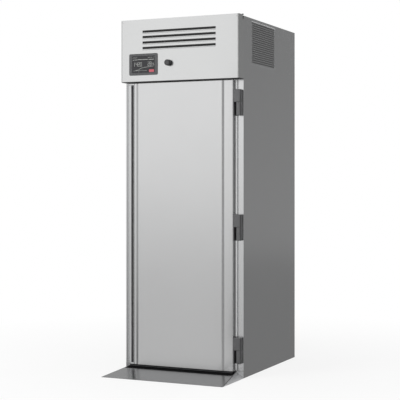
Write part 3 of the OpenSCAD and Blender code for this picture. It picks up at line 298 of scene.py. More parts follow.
def patterned(name, roughness, metallic, group, stretch, words, dark, light, depth):
    """A finish that changes between two tones and is raised, by the two outputs of a shader group that
    the words name. Its tree, shader and group come back with it."""
    material, tree, shader = blank_finish(name, roughness, metallic)
    pattern = placed_group(tree, group, stretch)
    tone, height = (pattern.outputs[word] for word in words)
    joint(tree, two_tone(tree, tone, dark, light), shader.inputs["Base Color"])
    raised(tree, shader, height, depth)
    return material, tree, shader, pattern


def brushed_steel(name, colour, roughness, stretch, contrast=0.05, wave_depth=0.0006):
    """Bare steel: the brush lines change its tone and gloss a little, and the sheet waves slightly."""
    dark = tuple(c * (1 - contrast) for c in colour)
    light = tuple(min(c * (1 + contrast), 1) for c in colour)
    material, tree, shader, lines = patterned(name, roughness, 1.0, brushed, stretch, ("Grain", "Height"),
                                              dark, light, wave_depth)
    joint(tree, ranged(tree, lines.outputs["Patch"], roughness - 0.05, roughness + 0.05),
          shader.inputs["Roughness"])
    return material


def rounded_edges(piece, name, width, angle):
    """Rounds by a width in metres the edges of a piece that are sharper than the angle in degrees."""
    rounding = piece.modifiers.new(name, "BEVEL")
    rounding.width = width
    rounding.segments = 2
    rounding.limit_method = "ANGLE"
    rounding.angle_limit = math.radians(angle)
    rounding.harden_normals = True


def dressed(node, finish, ease=0.0):
    """Gives a CAD node its finish. With an ease in millimetres, its sharp edges are rounded by that much."""
    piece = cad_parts[node]
    if not piece.material_slots:
        piece.data.materials.append(finish)
    for place in piece.material_slots:
        place.material = finish
    if ease:
        weld = piece.modifiers.new("joined_faces", "WELD")
        weld.merge_threshold = 0.00001
        rounded_edges(piece, "eased_edges", ease / 1000, 40)


cellular, _, cell_place, ends = pattern_group("foam_cells", ["Cell", "Height"])
bubble = added(cellular, "TexVoronoi", Scale=1.0)
joint(cellular, cell_place, bubble.inputs["Vector"])
joint(cellular, bubble.outputs["Distance"], ends.inputs["Height"])
joint(cellular, cloud(cellular, cell_place, scale=0.2, detail=3), ends.inputs["Cell"])
foam, *_ = patterned("foam", 0.85, 0.0, cellular, (420, 420, 420), ("Cell", "Height"), (0.74, 0.63, 0.36),
                     (0.9, 0.83, 0.6), 0.0006)
floor_steel = brushed_steel("floor_steel", (0.66, 0.665, 0.67), 0.42, (60, 9, 60), 0.16, 0.0004)
dressed("floor_core", foam)
dressed("floor_plate", floor_steel, 0.4)

# ---- Access ramp ----
# One sheet folded into a wedge, with sloping ends and ribs welded under it. Its slope is painted
# dark as painted shade, and its two sloping ends are painted pale as the light they catch.
# The slope's dark base colour is painted shade.
ramp_steel = brushed_steel("ramp_steel", (0.216, 0.218, 0.222), 0.24, (12, 160, 160), 0.10, 0.0005)
slope, under_plane, at_ends = 0.10057, -0.0858, -0.0838
tree = ramp_steel.node_tree
shader = tree.nodes["Principled BSDF"]
# How far a point lies under the slope's plane tells the two ends from the slope.
below = added(tree, "VectorMath", "DOT_PRODUCT")
below.inputs[1].default_value = (0, slope, -1)
joint(tree, added(tree, "TexCoord").outputs["Object"], below.inputs[0])
ends_only = added(tree, "MapRange", From_Min=under_plane, From_Max=at_ends)
joint(tree, below.outputs["Value"], ends_only.inputs["Value"])
# The ends take a pale colour, a painted highlight, and a rougher finish than the darker slope.
lit_ends_mix = added(tree, "Mix")
lit_ends_mix.data_type = "RGBA"
joint(tree, ends_only.outputs["Result"], lit_ends_mix.inputs["Factor"])
joint(tree, shader.inputs["Base Color"].links[0].from_socket, lit_ends_mix.inputs[6])
lit_ends_mix.inputs[7].default_value = (0.64, 0.645, 0.655, 1)
joint(tree, lit_ends_mix.outputs[2], shader.inputs["Base Color"])
softer = added(tree, "Math", "MAXIMUM")
joint(tree, shader.inputs["Roughness"].links[0].from_socket, softer.inputs[0])
joint(tree, ranged(tree, ends_only.outputs["Result"], 0, 0.45), softer.inputs[1])
joint(tree, softer.outputs[0], shader.inputs["Roughness"])
dressed("access_ramp", ramp_steel, 1.2)

# ---- Casing panels ----
# Side, back and roof panels of thin stainless sheet with a fine upright brush. They are folded at
# the front, hooked over the frame and screwed at the back.
casing_steel = brushed_steel("casing_steel", (0.69, 0.695, 0.7), 0.21, (240, 240, 5), 0.03, 0.0004)
for panel in ("side_panel_left", "side_panel_right"):
    dressed(panel, casing_steel, 0.5)
dressed("back_panel", casing_steel, 0.4)
roof_steel = brushed_steel("roof_steel", (0.69, 0.695, 0.7), 0.24, (240, 5, 240), 0.03, 0.0004)
dressed("roof_panel", roof_steel, 0.4)
rear_y = 2 * half_depth


def woven(rows, columns, wrap_rows=False, wrap_columns=False):
    """Quads over points numbered row by row: each point with its next column and next row, and round
    again where wrapped."""
    r, c = np.meshgrid(np.arange(rows if wrap_rows else rows - 1),
                       np.arange(columns if wrap_columns else columns - 1), indexing="ij")
    here, below = r * columns, (r + 1) % rows * columns
    after = (c + 1) % columns
    return np.stack([here + c, here + after, below + after, below + c], -1).reshape(-1, 4)


def lofted(rings, closed=False):
    """A skin over rings of points (ring, point, xyz). Each ring is joined to the next, and flat faces
    close both ends unless the last ring meets the first."""
    rings = np.asarray(rings, float)
    count, around = rings.shape[:2]
    faces = [woven(count, around, closed, True)]
    if not closed:
        first = np.arange(around)
        faces += [first[None, ::-1], first[None] + (count - 1) * around]
    return rings.reshape(-1, 3), faces


# The columns that lay points given as (across, over, along) on each axis.
AXES = {"x": [2, 0, 1], "y": [0, 2, 1], "z": [0, 1, 2]}


def turned(profile, centre=(0, 0, 0), axis="z", around=40, ripple=0.0, lobes=0):
    """A profile of (radius, height) pairs turned about an axis through centre: radius times cos and sin
    of the angle, and the height along the axis. Lobes make the radius rise and fall round the axis by
    the ripple."""
    profile = np.asarray(profile, float)
    angle = np.linspace(0, 2 * np.pi, around, endpoint=False)
    radius = profile[:, :1] * (1 + ripple * np.cos(lobes * angle))
    rings = np.stack([radius * np.cos(angle), radius * np.sin(angle), profile[:, 1:] + 0 * angle], -1)
    return lofted(rings[..., AXES[axis]] + np.asarray(centre, float))


def curved(start, corner, end, steps):
    """Curves of the second degree from start to end that lean to the corner: (1 - s) squared times the
    start, twice s times (1 - s) times the corner, and s squared times the end."""
    s = np.linspace(0, 1, steps + 1)[None, :, None]
    points = (1 - s) ** 2 * start[:, None] + 2 * s * (1 - s) * corner[:, None] + s ** 2 * end[:, None]
    return points.reshape(-1, points.shape[-1])


def eased_outline(corners, radius, steps=4):
    """A closed outline whose corners are rounded: a curve from a radius before each corner to a radius
    after it."""
    corners = np.asarray(corners, float)
    radius = np.broadcast_to(np.asarray(radius, float), len(corners))[:, None]
    back, on = np.roll(corners, 1, 0) - corners, np.roll(corners, -1, 0) - corners
    back_l, on_l = np.linalg.norm(back, axis=1)[:, None], np.linalg.norm(on, axis=1)[:, None]
    start = corners + back / back_l * np.minimum(radius, back_l * 0.49)
    end = corners + on / on_l * np.minimum(radius, on_l * 0.49)
    return curved(start, corners, end, steps)


def ring_at(outline, place):
    """An outline's points with their place along the axis as a third number."""
    return np.column_stack([outline, np.full(len(outline), float(place))])


def drawn(outline, low, high, axis="z"):
    """A closed outline carried straight along an axis. It is given in (x, y) for z, in (x, z) for y and
    in (y, z) for x."""
    return lofted(np.stack([ring_at(outline, low), ring_at(outline, high)])[..., AXES[axis]])


def box_outline(x0, y0, x1, y1):
    """The four corners of a rectangle."""
    return [(x0, y0), (x1, y0), (x1, y1), (x0, y1)]


def bar(low, high, ease=1.0, axis="z"):
    """A bar between two corners, drawn along an axis, whose long edges and ends are eased: a smaller
    outline at each end opens to the full one."""
    keep, run = {"x": (1, 2), "y": (0, 2), "z": (0, 1)}[axis], "xyz".index(axis)
    (x0, y0), (x1, y1) = [low[i] for i in keep], [high[i] for i in keep]
    rings = []
    for place, inset in ((low[run], ease), (low[run] + ease, 0), (high[run] - ease, 0), (high[run], ease)):
        edge = box_outline(x0 + inset, y0 + inset, x1 - inset, y1 - inset)
        rings.append(ring_at(eased_outline(edge, ease, 2), place))
    return lofted(np.stack(rings)[..., AXES[axis]])


def joined(*shapes):
    """Several shapes as one, with each one's faces moved past the points before it."""
    points, faces, start = [], [], 0
    for shape_points, shape_faces in shapes:
        points.append(shape_points)
        faces += [rows + start for rows in shape_faces]
        start += len(shape_points)
    return np.concatenate(points), faces


def repeated(shape, places):
    """The same shape at several places."""
    points, faces = shape
    return joined(*[(points + np.asarray(place, float), faces) for place in places])


def made(name, shape, finish, body, stands_for=(), crease=32):
    """Puts a shape into a mesh, joins its doubles, turns its faces outwards and lets it ride on its body."""
    points, faces = shape
    mesh = bpy.data.meshes.new(name)
    mesh.from_pydata(in_place(points).tolist(), [], [row for rows in faces for row in rows.tolist()])
    surface = bmesh.new()
    surface.from_mesh(mesh)
    bmesh.ops.remove_doubles(surface, verts=surface.verts, dist=0.000002)
    bmesh.ops.recalc_face_normals(surface, faces=surface.faces)
    surface.to_mesh(mesh)
    surface.free()
    mesh.shade_smooth()
    mesh.set_sharp_from_angle(angle=math.radians(crease))
    mesh.materials.append(finish)
    piece = bpy.data.objects.new(name, mesh)
    bpy.context.scene.collection.objects.link(piece)
    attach(piece, body)
    if stands_for:
        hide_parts(*stands_for)
    return piece


def pan_head(radius, out):
    """A domed screw head lying on Z 0 with a hexagon socket in its top, standing out by that much."""
    dome = turned([(0, 0), (radius, 0), (radius, out * 0.4), (radius * 0.8, out * 0.85), (radius * 0.5, out)],
                  around=14)
    socket = turned([(radius * 0.5, out), (radius * 0.45, out * 0.3), (0, out * 0.3)], around=14)
    return joined(*((points, faces[:1]) for points, faces in (dome, socket)))


def facing(shape, axis, sign):
    """Turns a shape that stands on Z 0 so that it stands out along an axis, forwards or backwards."""
    points, faces = shape
    order = {"x": [2, 1, 0], "y": [0, 2, 1], "z": [0, 1, 2]}[axis]
    way = np.ones(3)
    way["xyz".index(axis)] = sign
    return points[:, order] * way, faces


pin_steel, *_ = patterned("bright_steel", 0.22, 1.0, brushed, (500, 500, 500), ("Grain", "Grain"),
                          (0.66, 0.67, 0.69), (0.8, 0.81, 0.82), 0.00002)
back_places = [(x, rear_y, z) for x in (-424, 424) for z in np.linspace(70, 2340, 9)]
back_places += [(x, rear_y, z) for x in (-210, 0, 210) for z in (24, 2380)]
back_screws = repeated(facing(pan_head(5, 2.6), "y", 1), back_places)
made("back_panel_screws", back_screws, pin_steel, "cabinet")
roof_places = [(x, y, 2398) for x in (-420, 420) for y in (60, 350, 640, 930)]
made("roof_panel_screws", repeated(pan_head(5, 2.6), roof_places), pin_steel, "cabinet")

# ---- Side vents ----
# A perforated plate of the same steel behind the opening of each side panel. Its round holes are
# punched in staggered rows, and a black mat of open foam is clipped behind it.
def duller(finish, level):
    """Sets how strongly a finish mirrors where it is looked at straight. Its usual level is 0.5."""
    finish.node_tree.nodes["Principled BSDF"].inputs["Specular IOR Level"].default_value = level


mat_foam, *_ = patterned("filter_mat", 0.95, 0.0, cellular, (500, 500, 500), ("Cell", "Height"),
                         (0.024, 0.024, 0.024), (0.05, 0.05, 0.05), 0.002)
duller(mat_foam, 0.1)


def punched_plate(y0, y1, z0, z1, pitch, row, hole, x0, x1, sides=12):
    """A plate of cells, each a square frame round a hole: the outer edge is the direction scaled to the
    cell's side, and the inner edge is a circle. Every second row is moved by half a cell."""
    angle = np.linspace(0, 2 * np.pi, sides, endpoint=False) + np.pi / 4
    way = np.stack([np.cos(angle), np.sin(angle)], -1)
    outer = way / np.abs(way).max(1)[:, None] * (pitch / 2, row / 2)
    inner = way * hole
    rows = int((z1 - z0) // row)
    columns = int((y1 - y0) // pitch)
    r, c = np.meshgrid(np.arange(rows), np.arange(columns), indexing="ij")
    shift = np.where(r % 2 == 0, -0.25, 0.25)
    centre = np.stack([(y0 + y1) / 2 + (c - (columns - 1) / 2 + shift) * pitch,
                       (z0 + z1) / 2 + (r - (rows - 1) / 2) * row], -1).reshape(-1, 2)
    loops = [(outer, x1), (inner, x1), (inner, x0)]
    cell = np.concatenate([np.column_stack([np.full(sides, x), loop]) for loop, x in loops])
    points = cell[None] + np.column_stack([np.zeros(len(centre)), centre])[:, None]
    faces = woven(3, sides, False, True)[None] + (np.arange(len(centre)) * 3 * sides)[:, None, None]
    return points.reshape(-1, 3), [faces.reshape(-1, 4)]


vent_y0, vent_y1, vent_z0, vent_z1 = 142, 578, 2089, 2374
pitch, row_step, hole_radius, lap = 16.7, 14.5, 6.1, 7
for side, word in ((-1, "left"), (1, "right")):
    field = punched_plate(vent_y0 + 8, vent_y1 - 8, vent_z0 + 9.5, vent_z1, pitch, row_step, hole_radius,
                          437.1 * side, 438.4 * side)
    (low_y, low_z), (high_y, high_z) = field[0][:, 1:].min(0), field[0][:, 1:].max(0)
    x0, x1 = sorted((437.1 * side, 438.4 * side))
    y0, y1, z0, z1 = vent_y0 - lap, vent_y1 + lap, vent_z0 - lap, vent_z1 + lap
    rim = [bar((x0, y0, z0), (x1, y1, low_z + 0.2), 0.3, "y"),
           bar((x0, y0, high_z - 0.2), (x1, y1, z1), 0.3, "y"),
           bar((x0, y0, low_z), (x1, low_y + pitch * 0.5, high_z), 0.3),
           bar((x0, high_y - pitch * 0.5, low_z), (x1, y1, high_z), 0.3)]
    made("vent_grille_" + word, joined(field, *rim), casing_steel, "cabinet", ("vent_grilles",))
    x0, x1 = sorted((430 * side, 436.9 * side))
    mat = bar((x0, vent_y0 - 5, vent_z0 - 5), (x1, vent_y1 + 5, vent_z1 + 5), 1.5, "y")
    made("vent_filter_mat_" + word, mat, mat_foam, "cabinet")

# ---- Insulation and linings ----
# Foam fills the walls and the ceiling between the casing and the bright linings of the chamber,
# which are single sheets with turned edges.
lining_steel = brushed_steel("lining_steel", (0.7, 0.705, 0.71), 0.3, (200, 200, 5), 0.04, 0.0006)
dressed("wall_insulation", foam)
for node in ("liner_sides", "liner_back", "liner_ceiling"):
    dressed(node, lining_steel)

# ---- Front frame ----
# Folded uprights with a shadow groove beside the casing, and a header that closes the top of the
# opening.
frame_steel = brushed_steel("frame_steel", (0.67, 0.675, 0.68), 0.34, (240, 240, 5), 0.04, 0.00008)
dressed("frame_jambs", frame_steel, 0.8)
dressed("frame_header", frame_steel, 0.8)
# A folded trim closes the casing's front edge on the latch side, with a pan-head screw at each end.
trim_low, trim_high = 60, 1974
trim = eased_outline([(-435.9, -0.1), (-435.9, -0.4), (-424, -3), (-423, -2.6), (-423, -0.1)], 0.2, 2)
made("latch_side_trim", drawn(trim, trim_low, trim_high), frame_steel, "cabinet")
trim_screws = repeated(facing(pan_head(3.2, 0.9), "y", -1), [(-429.5, -1.9, z) for z in (132, 1950)])
made("latch_trim_screws", trim_screws, frame_steel, "cabinet")
# A slim bevelled strip covers the frame's joint beside the door's hinge edge, in lengths between
# the hinges.
joint_x = 382.6
bead = [(joint_x, -0.1), (joint_x, -5.6), (396.5, -0.4), (396.5, -0.1)]
bead = eased_outline(bead, [0.1, 0.3, 0.1, 0.05], 2)
joints = (187, 1000, 1826)
lengths = zip((50, *(z + 86 for z in joints)), (*(z - 90 for z in joints), trim_high))
strips = [drawn(bead, low, high) for low, high in lengths]
made("hinge_side_strip", joined(*strips), casing_steel, "cabinet")

# ---- Door ----
# A foamed door in a pressed stainless skin, with a raised middle panel between two long slopes and
# folded edges. Its extruded handle profile is on the left, and a bright liner closes the back.
door_steel = brushed_steel("door_steel", (0.69, 0.692, 0.695), 0.2, (260, 260, 4), 0.03, 0.0004)
profile_metal = brushed_steel("profile_metal", (0.68, 0.685, 0.69), 0.24, (300, 300, 3), 0.03, 0.00004)
dark_metal = brushed_steel("groove_metal", (0.6, 0.602, 0.606), 0.4, (300, 300, 3), 0.05, 0.00004)
face_y, panel_y, back_y, skin_left, skin_right = -43, -47, -7, -353.7, 381
door_low, door_high, fold = 48, 1972, 1.2
panel_left, panel_right, slope_width = -321, 303, 16
skin_corners = [(skin_left, back_y - 1.5), (skin_left, face_y), (panel_left - slope_width, face_y),
                (panel_left, panel_y), (panel_right, panel_y), (panel_right + slope_width, face_y),
                (skin_right, face_y), (skin_right, back_y - 1.5)]
skin = eased_outline(skin_corners, [0.1, 2.5, 4, 6, 6, 4, 2.5, 0.1], 4)
folded = []
for height, inset in ((door_low, fold), (door_low + fold, 0), (door_high - fold, 0), (door_high, fold)):
    edge = skin.copy()
    edge[:, 1] = np.where(edge[:, 1] < -30, edge[:, 1] + inset, edge[:, 1])
    edge[:, 0] = np.clip(edge[:, 0], skin_left + inset, skin_right - inset)
    folded.append(ring_at(edge, height))
made("door_skin_pressed", lofted(folded), door_steel, "door", ("door_skin",), 25)
dressed("door_core", foam)
dressed("door_liner", lining_steel, 0.8)

# The profile is one extrusion: a rounded lip in front of the fingers and a deep channel behind it,
# with a moulded plug in each end.
lip = eased_outline([(-396, -8.5), (-396, face_y), (-377, face_y), (-377, -36), (-387, -36), (-387, -19),
                     (-358, -19), (-358, face_y), (-354.2, face_y), (-354.2, -8.5)],
                    [0.1, 3.5, 2.2, 2.2, 2.5, 3, 3, 1.2, 1.2, 0.1], 4)
plug_length = 11
lip_low, lip_high = door_low + plug_length, door_high - plug_length
extrusion = drawn(lip, lip_low, lip_high)
made("handle_extrusion", extrusion, profile_metal, "door", ("handle_profile",), 30)
channel = eased_outline([(-377.2, -35.6), (-386.6, -35.6), (-386.6, -19.4), (-358.4, -19.4),
                         (-358.4, -41), (-358.1, -41), (-358.1, -18.9), (-387.1, -18.9), (-387.1, -36),
                         (-377.2, -36)], 0.2, 1)
channel_strip = drawn(channel, lip_low + 0.5, lip_high - 0.5)
made("handle_channel_strip", channel_strip, dark_metal, "door", (), 30)
plugs = [bar((-396, face_y, z0), (-354.2, -8.5, z1), 1.2)
         for z0, z1 in ((door_low, lip_low), (lip_high, door_high))]
made("handle_end_plugs", joined(*plugs), profile_metal, "door")

moulded, _, skin_place, ends = pattern_group("moulded_skin", ["Tone", "Height"])
joint(moulded, cloud(moulded, skin_place, scale=1.0, detail=3), ends.inputs["Height"])
joint(moulded, cloud(moulded, skin_place, scale=0.03, detail=3), ends.inputs["Tone"])


def moulded_finish(name, dark, light, roughness, fineness=900, depth=0.00006, metallic=0.0):
    """A moulded or painted skin: fine pits from the mould or the spray, and a slow change of tone."""
    material, *_ = patterned(name, roughness, metallic, moulded, (fineness,) * 3, ("Tone", "Height"), dark,
                             light, depth)
    return material


def framed(section, x0, x1, z0, z1):
    """A section of (inwards, y) pairs carried up the left edge, across the top and down the right, with
    mitred corners: each point moves inwards from both edges it passes."""
    section = np.asarray(section, float)
    inward, depth = section[:, 0], section[:, 1]
    one = np.ones(len(section))
    rings = [(x0 + inward, z0 * one), (x0 + inward, z1 - inward), (x1 - inward, z1 - inward),
             (x1 - inward, z0 * one)]
    return lofted(np.stack([np.column_stack([x, depth, z]) for x, z in rings]))


rubber = moulded_finish("black_rubber", (0.022, 0.022, 0.024), (0.04, 0.04, 0.043), 0.6, 700, 0.0001)
# The gasket is a soft extrusion: a magnet strip in front, one fold of bellows, and a root that is
# pressed into the liner. It runs up both edges and across the top.
bellows = eased_outline([(0, -0.4), (22, -0.4), (22, -3), (17, -3.6), (20, -5), (20, -6.9), (2, -6.9),
                         (2, -5), (5, -3.6), (0, -3)], 0.5, 2)
grey_rubber = moulded_finish("grey_rubber", (0.2, 0.2, 0.205), (0.27, 0.27, 0.275), 0.6, 700, 0.0001)
gasket_left, gasket_right = -390, 375
gasket = framed(bellows, gasket_left, gasket_right, 48.2, 1966)
made("door_gasket_bellows", gasket, grey_rubber, "door", ("door_gasket",))
sweep = eased_outline([(-38, 47.8), (-38, 42), (-36, 41), (-37.6, 35.5), (-34.8, 35.5), (-33.4, 41),
                       (-31, 41), (-31.4, 35.5), (-28.6, 35.5), (-28, 41), (-26, 42), (-26, 47.8)], 0.6, 2)
# A near-black strip on the ramp in front of the door's foot stands for the shadow and dark reflection under
# the door: painted shadow.
tip_height, slope_rise, slope_length = 2, 35, 348
shadow_band = np.array([(-92, 0.05), (-90.5, 0.9), (-30, 0.9), (-29, 0.05)])
shadow_band[:, 1] += tip_height + slope_rise * (slope_length + shadow_band[:, 0]) / slope_length
shadow_strip_black = moulded_finish("shadow_strip_black", (0.004, 0.004, 0.0045), (0.008, 0.008, 0.0085), 0.9, 400,
                              0.0002)
duller(shadow_strip_black, 0.05)
made("painted_shadow_strip", drawn(shadow_band, -399, 384, "x"), shadow_strip_black, "cabinet")
sweep_lips = drawn(sweep, gasket_left, gasket_right, "x")
made("door_sweep_lips", sweep_lips, rubber, "door", ("door_sweep",))

# ---- Door hinges ----
# Three cast lift-off hinges in dark metallic paint. The lower halves are screwed to the frame over a
# packing plate, the upper halves to the door's edge, and each turns on a steel pin.
hinge_paint = moulded_finish("hinge_paint", (0.16, 0.161, 0.164), (0.19, 0.191, 0.195), 0.38, 500,
                             0.00008, 0.9)


def cast_half(outline, z0, z1, ease):
    """A hinge half drawn upright, with its ends eased: the outline shrinks towards its middle at both
    ends."""
    outline = eased_outline(outline, 2.5, 4)
    middle = outline.mean(0)
    away = outline - middle
    size = np.linalg.norm(away, axis=1)[:, None]
    return lofted([ring_at(middle + away * (1 - inset / size), z)
                   for z, inset in ((z0, ease), (z0 + ease, 0), (z1 - ease, 0), (z1, ease))])


barrel_x, side_x, hinge_low, hinge_high, split = 405, 432, 88, 84, 0.2
lower_outline = [(barrel_x, face_y), (side_x, face_y), (side_x, -0.2), (barrel_x, -0.2)]
lower = [cast_half(lower_outline, z - hinge_low, z - split, 1.6) for z in joints]
# The dark feet and packing plates also cover the frame's groove and jamb beside the door: painted shade for
# the gap there.
feet = [bar((398, -4, z - hinge_low), (406, -0.1, z - split), 1.2) for z in joints]
packings = [bar((joint_x, -1.8, z - hinge_low), (399, -0.1, z - split), 0.5) for z in joints]
lower_halves = joined(*lower, *feet, *packings)
made("hinge_lower_halves", lower_halves, hinge_paint, "cabinet", ("hinge_frame_leaves",))
upper_outline = [(381.1, -9), (381.1, face_y), (side_x, face_y), (side_x, -2), (barrel_x, -2), (398, -9)]
upper = [cast_half(upper_outline, z + 0.5, z + hinge_high, 1.6) for z in joints]
leaves = [bar((381.1, -41, z - hinge_low), (389, -9, z + 2), 1.2) for z in joints]
made("hinge_upper_halves", joined(*upper, *leaves), hinge_paint, "door", ("hinge_door_leaves",))
screw = facing(pan_head(4.2, 1.6), "y", -1)
made("hinge_upper_screws", repeated(screw, [(392, face_y, z + dz) for z in joints for dz in (22, 62)]),
     hinge_paint, "door")
dressed("hinge_pins", pin_steel)

# ---- Fascia ----
# One stainless sheet folded round the front of the machine compartment, with rounded upright
# corners, four pressed louvres and cut-outs for the display and the knob. It lifts on a piano hinge.
fascia_steel = brushed_steel("fascia_steel", (0.705, 0.71, 0.71), 0.22, (5, 240, 240), 0.025, 0.0003)
low_z, high_z, front_y, edge_x, bend_r = 1982.0, 2404.0, -77.0, 440, 12
slot_z, slot_half, slot_reach = [2320.5, 2283.3, 2246.1, 2208.9], 7.5, 272
display_x, display_z, knob_x, knob_z = -265, 2097.5, -73, 2101
# The hinge's leaf takes the place of the side walls behind and above this line.
notch_y, notch_z = -14, 2374
# Each opening's middle and half size, across and up.
openings = [(0, z, slot_reach, slot_half) for z in slot_z]
openings += [(display_x, display_z, 99, 63.5), (knob_x, knob_z, 5, 5)]
flat_x, flat_y = edge_x - bend_r, front_y + bend_r
breaks_x = sorted({-flat_x, flat_x, *(x + s * half for x, _, half, _ in openings for s in (-1, 1))})
breaks_z = sorted({low_z, high_z, notch_z, *(z + s * half for _, z, _, half in openings for s in (-1, 1))})
turn = np.linspace(0, np.pi / 2, 9)[1:-1]
plan = np.concatenate([
    [(-edge_x, -1), (-edge_x, notch_y), (-edge_x, flat_y)],
    np.stack([-flat_x - bend_r * np.cos(turn), flat_y - bend_r * np.sin(turn)], -1),
    np.stack([breaks_x, np.full(len(breaks_x), front_y)], -1),
    np.stack([flat_x + bend_r * np.sin(turn), flat_y - bend_r * np.cos(turn)], -1),
    [(edge_x, flat_y), (edge_x, notch_y), (edge_x, -1)]])
sheet_points = np.stack([ring_at(plan, z) for z in breaks_z])
cells_all = woven(len(breaks_z), len(plan))
middle = sheet_points.reshape(-1, 3)[cells_all].mean(1)
on_front = middle[:, 1] < front_y + 0.1
open_cell = (middle[:, 1] > notch_y) & (middle[:, 2] > notch_z)
for x, z, half_x, half_z in openings:
    open_cell |= on_front & (abs(middle[:, 0] - x) < half_x) & (abs(middle[:, 2] - z) < half_z)
bottom, top = ring_at(plan, low_z), ring_at(plan[1:-1], high_z)
shell = joined((sheet_points.reshape(-1, 3), [cells_all[~open_cell]]),
               (bottom, [np.arange(len(bottom))[None]]), (top, [np.arange(len(top))[None]]))
fascia = made("fascia_folded_sheet", shell, fascia_steel, "fascia", ("fascia_shell",), 28)
sheet = fascia.modifiers.new("sheet_thickness", "SOLIDIFY")
sheet.thickness = 0.0015
sheet.offset = -1
sheet.use_even_offset = True
rounded_edges(fascia, "folded_edges", 0.0006, 50)

# Each louvre's lower edge is pressed out as a long lip that sheds the drips.
across = np.linspace(-slot_reach, slot_reach, 41)
out = 2.4 * np.clip((slot_reach - abs(across)) / 14, 0, 1) ** 0.6
around = np.linspace(0, np.pi, 9)
lips = []
for z in slot_z:
    y = np.column_stack([front_y - 0.1 - out[:, None] * np.sin(around), np.full(len(across), -75.8)])
    height = np.append(z - slot_half + 0.2 - 7 * (1 - np.cos(around)) / 2, z - slot_half - 3.3)
    x = np.broadcast_to(across[:, None], y.shape)
    lips.append(lofted(np.stack([x, y, np.broadcast_to(height, y.shape)], -1)))
made("fascia_louvre_lips", joined(*lips), fascia_steel, "fascia")

# A mat of the same black foam behind the louvres keeps flour out of the machine; its black also stands in for
# the shade inside, as painted shade.
made("fascia_filter_mat", bar((-292, -73.5, 2190), (292, -63.5, 2340), 2.5, "x"), mat_foam, "fascia")

# A black rubber strip under its lower edge closes the gap over the door; its black is painted shade for that
# gap.
strip = eased_outline([(-72, 1982.2), (-72, 1979.6), (-60, 1978.6), (-4, 1978.6), (-4, 1982.2)], 1, 2)
made("fascia_shade_strip", drawn(strip, -436, 436, "x"), rubber, "fascia")
corner_screws = repeated(facing(pan_head(3.4, 1.2), "y", -1), [(x, front_y, 2390) for x in (-424, 424)])
made("fascia_corner_screws", corner_screws, pin_steel, "fascia")
# A dark cap closes each end of the piano hinge.
cap = turned([(0, 0), (5.5, 0), (5.9, 0.4), (5.9, 4), (5.3, 4.6), (0, 4.6)], around=32)
caps = [repeated(facing(cap, "x", side), [(436.1 * side, -7, 2405)]) for side in (-1, 1)]
made("fascia_hinge_caps", joined(*caps), hinge_paint, "cabinet")
dressed("fascia_hinge_leaf", casing_steel)
dressed("fascia_rail", casing_steel)
dressed("fascia_posts", casing_steel, 0.5)

# ---- Display ----
# A satin dark surround, and behind it a gloss black touch glass. Its lit page is plain: a clock, a
# temperature, small figures, a rising curve and a red key.
satin_dark = moulded_finish("satin_dark", (0.066, 0.067, 0.07), (0.08, 0.081, 0.084), 0.45, 1100, 0.00004)


def rounded_ring(width, height, radius, rise, y0):
    """A frame round a rectangular window: rounded rectangles that shrink from the outer edge to the
    window's edge while the height rises and falls."""
    rings = []
    for inset, out, corner in ((0, 0, radius), (0, rise - 1, radius), (1, rise, radius - 1), (21.5, rise, 2),
                               (23, rise - 1.4, 1), (23, 0, 1)):
        x, z = width / 2 - inset, height / 2 - inset * (17 / 23 if inset > 20 else 1)
        edge = eased_outline(box_outline(-x, -z, x, z), corner * 1.4, 6)
        rings.append(np.column_stack([display_x + edge[:, 0], np.full(len(edge), y0 - out),
                                      display_z + edge[:, 1]]))
    return lofted(rings, closed=True)


surround = rounded_ring(218, 147, 8, 3, front_y)
made("display_surround", surround, satin_dark, "fascia", ("display_bezel",), 28)
glass, tree, shader = blank_finish("touch_glass", 0.06, 0.0)
film = placed_group(tree, moulded, (30, 30, 30))
joint(tree, two_tone(tree, film.outputs["Tone"], (0.012, 0.012, 0.014), (0.022, 0.022, 0.025)),
      shader.inputs["Base Color"])
shader.inputs["Coat Weight"].default_value = 0.1
shader.inputs["Coat Roughness"].default_value = 0.03
glass_x, glass_z = 86, 56.5
touch_glass = bar((display_x - glass_x, -79.4, display_z - glass_z),
                  (display_x + glass_x, -77.5, display_z + glass_z), 0.6, "y")
made("display_touch_glass", touch_glass, glass, "fascia", ("display_glass",))


def lit_finish(name, colour, strength):
    """A lit part of the page, a little uneven as its light is."""
    material, tree, shader = blank_finish(name, 0.3, 0.0)
    shader.inputs["Base Color"].default_value = (*(c * 0.3 for c in colour), 1)
    patchy = placed_group(tree, moulded, (60, 60, 60))
    joint(tree, two_tone(tree, patchy.outputs["Tone"], tuple(c * 0.92 for c in colour), colour),
          shader.inputs["Emission Color"])
    shader.inputs["Emission Strength"].default_value = strength
    return material


# Each stroke runs from one point of a figure's cell to another. A one is a single stroke in the middle.
SEGMENTS = {"a": (0, 1, 1, 1), "b": (1, 0.5, 1, 1), "c": (1, 0, 1, 0.5), "d": (0, 0, 1, 0),
            "e": (0, 0, 0, 0.5), "f": (0, 0.5, 0, 1), "g": (0, 0.5, 1, 0.5), "m": (0.5, 0, 0.5, 1)}
DIGITS = {"0": "abcdef", "1": "m", "2": "abged", "4": "fgbc", "5": "afgcd", "7": "abc", "8": "abcdefg"}


def figures(text, x, z, height):
    """The strokes of a row of figures: each is lit segments of a cell 0.42 as wide as high."""
    width, step, strokes = height * 0.42, height * 0.62, []
    for i, mark in enumerate(text):
        left = x + i * step
        strokes += [(left + x0 * width, z + z0 * height, left + x1 * width, z + z1 * height)
                    for x0, z0, x1, z1 in (SEGMENTS[k] for k in DIGITS[mark])]
    return strokes


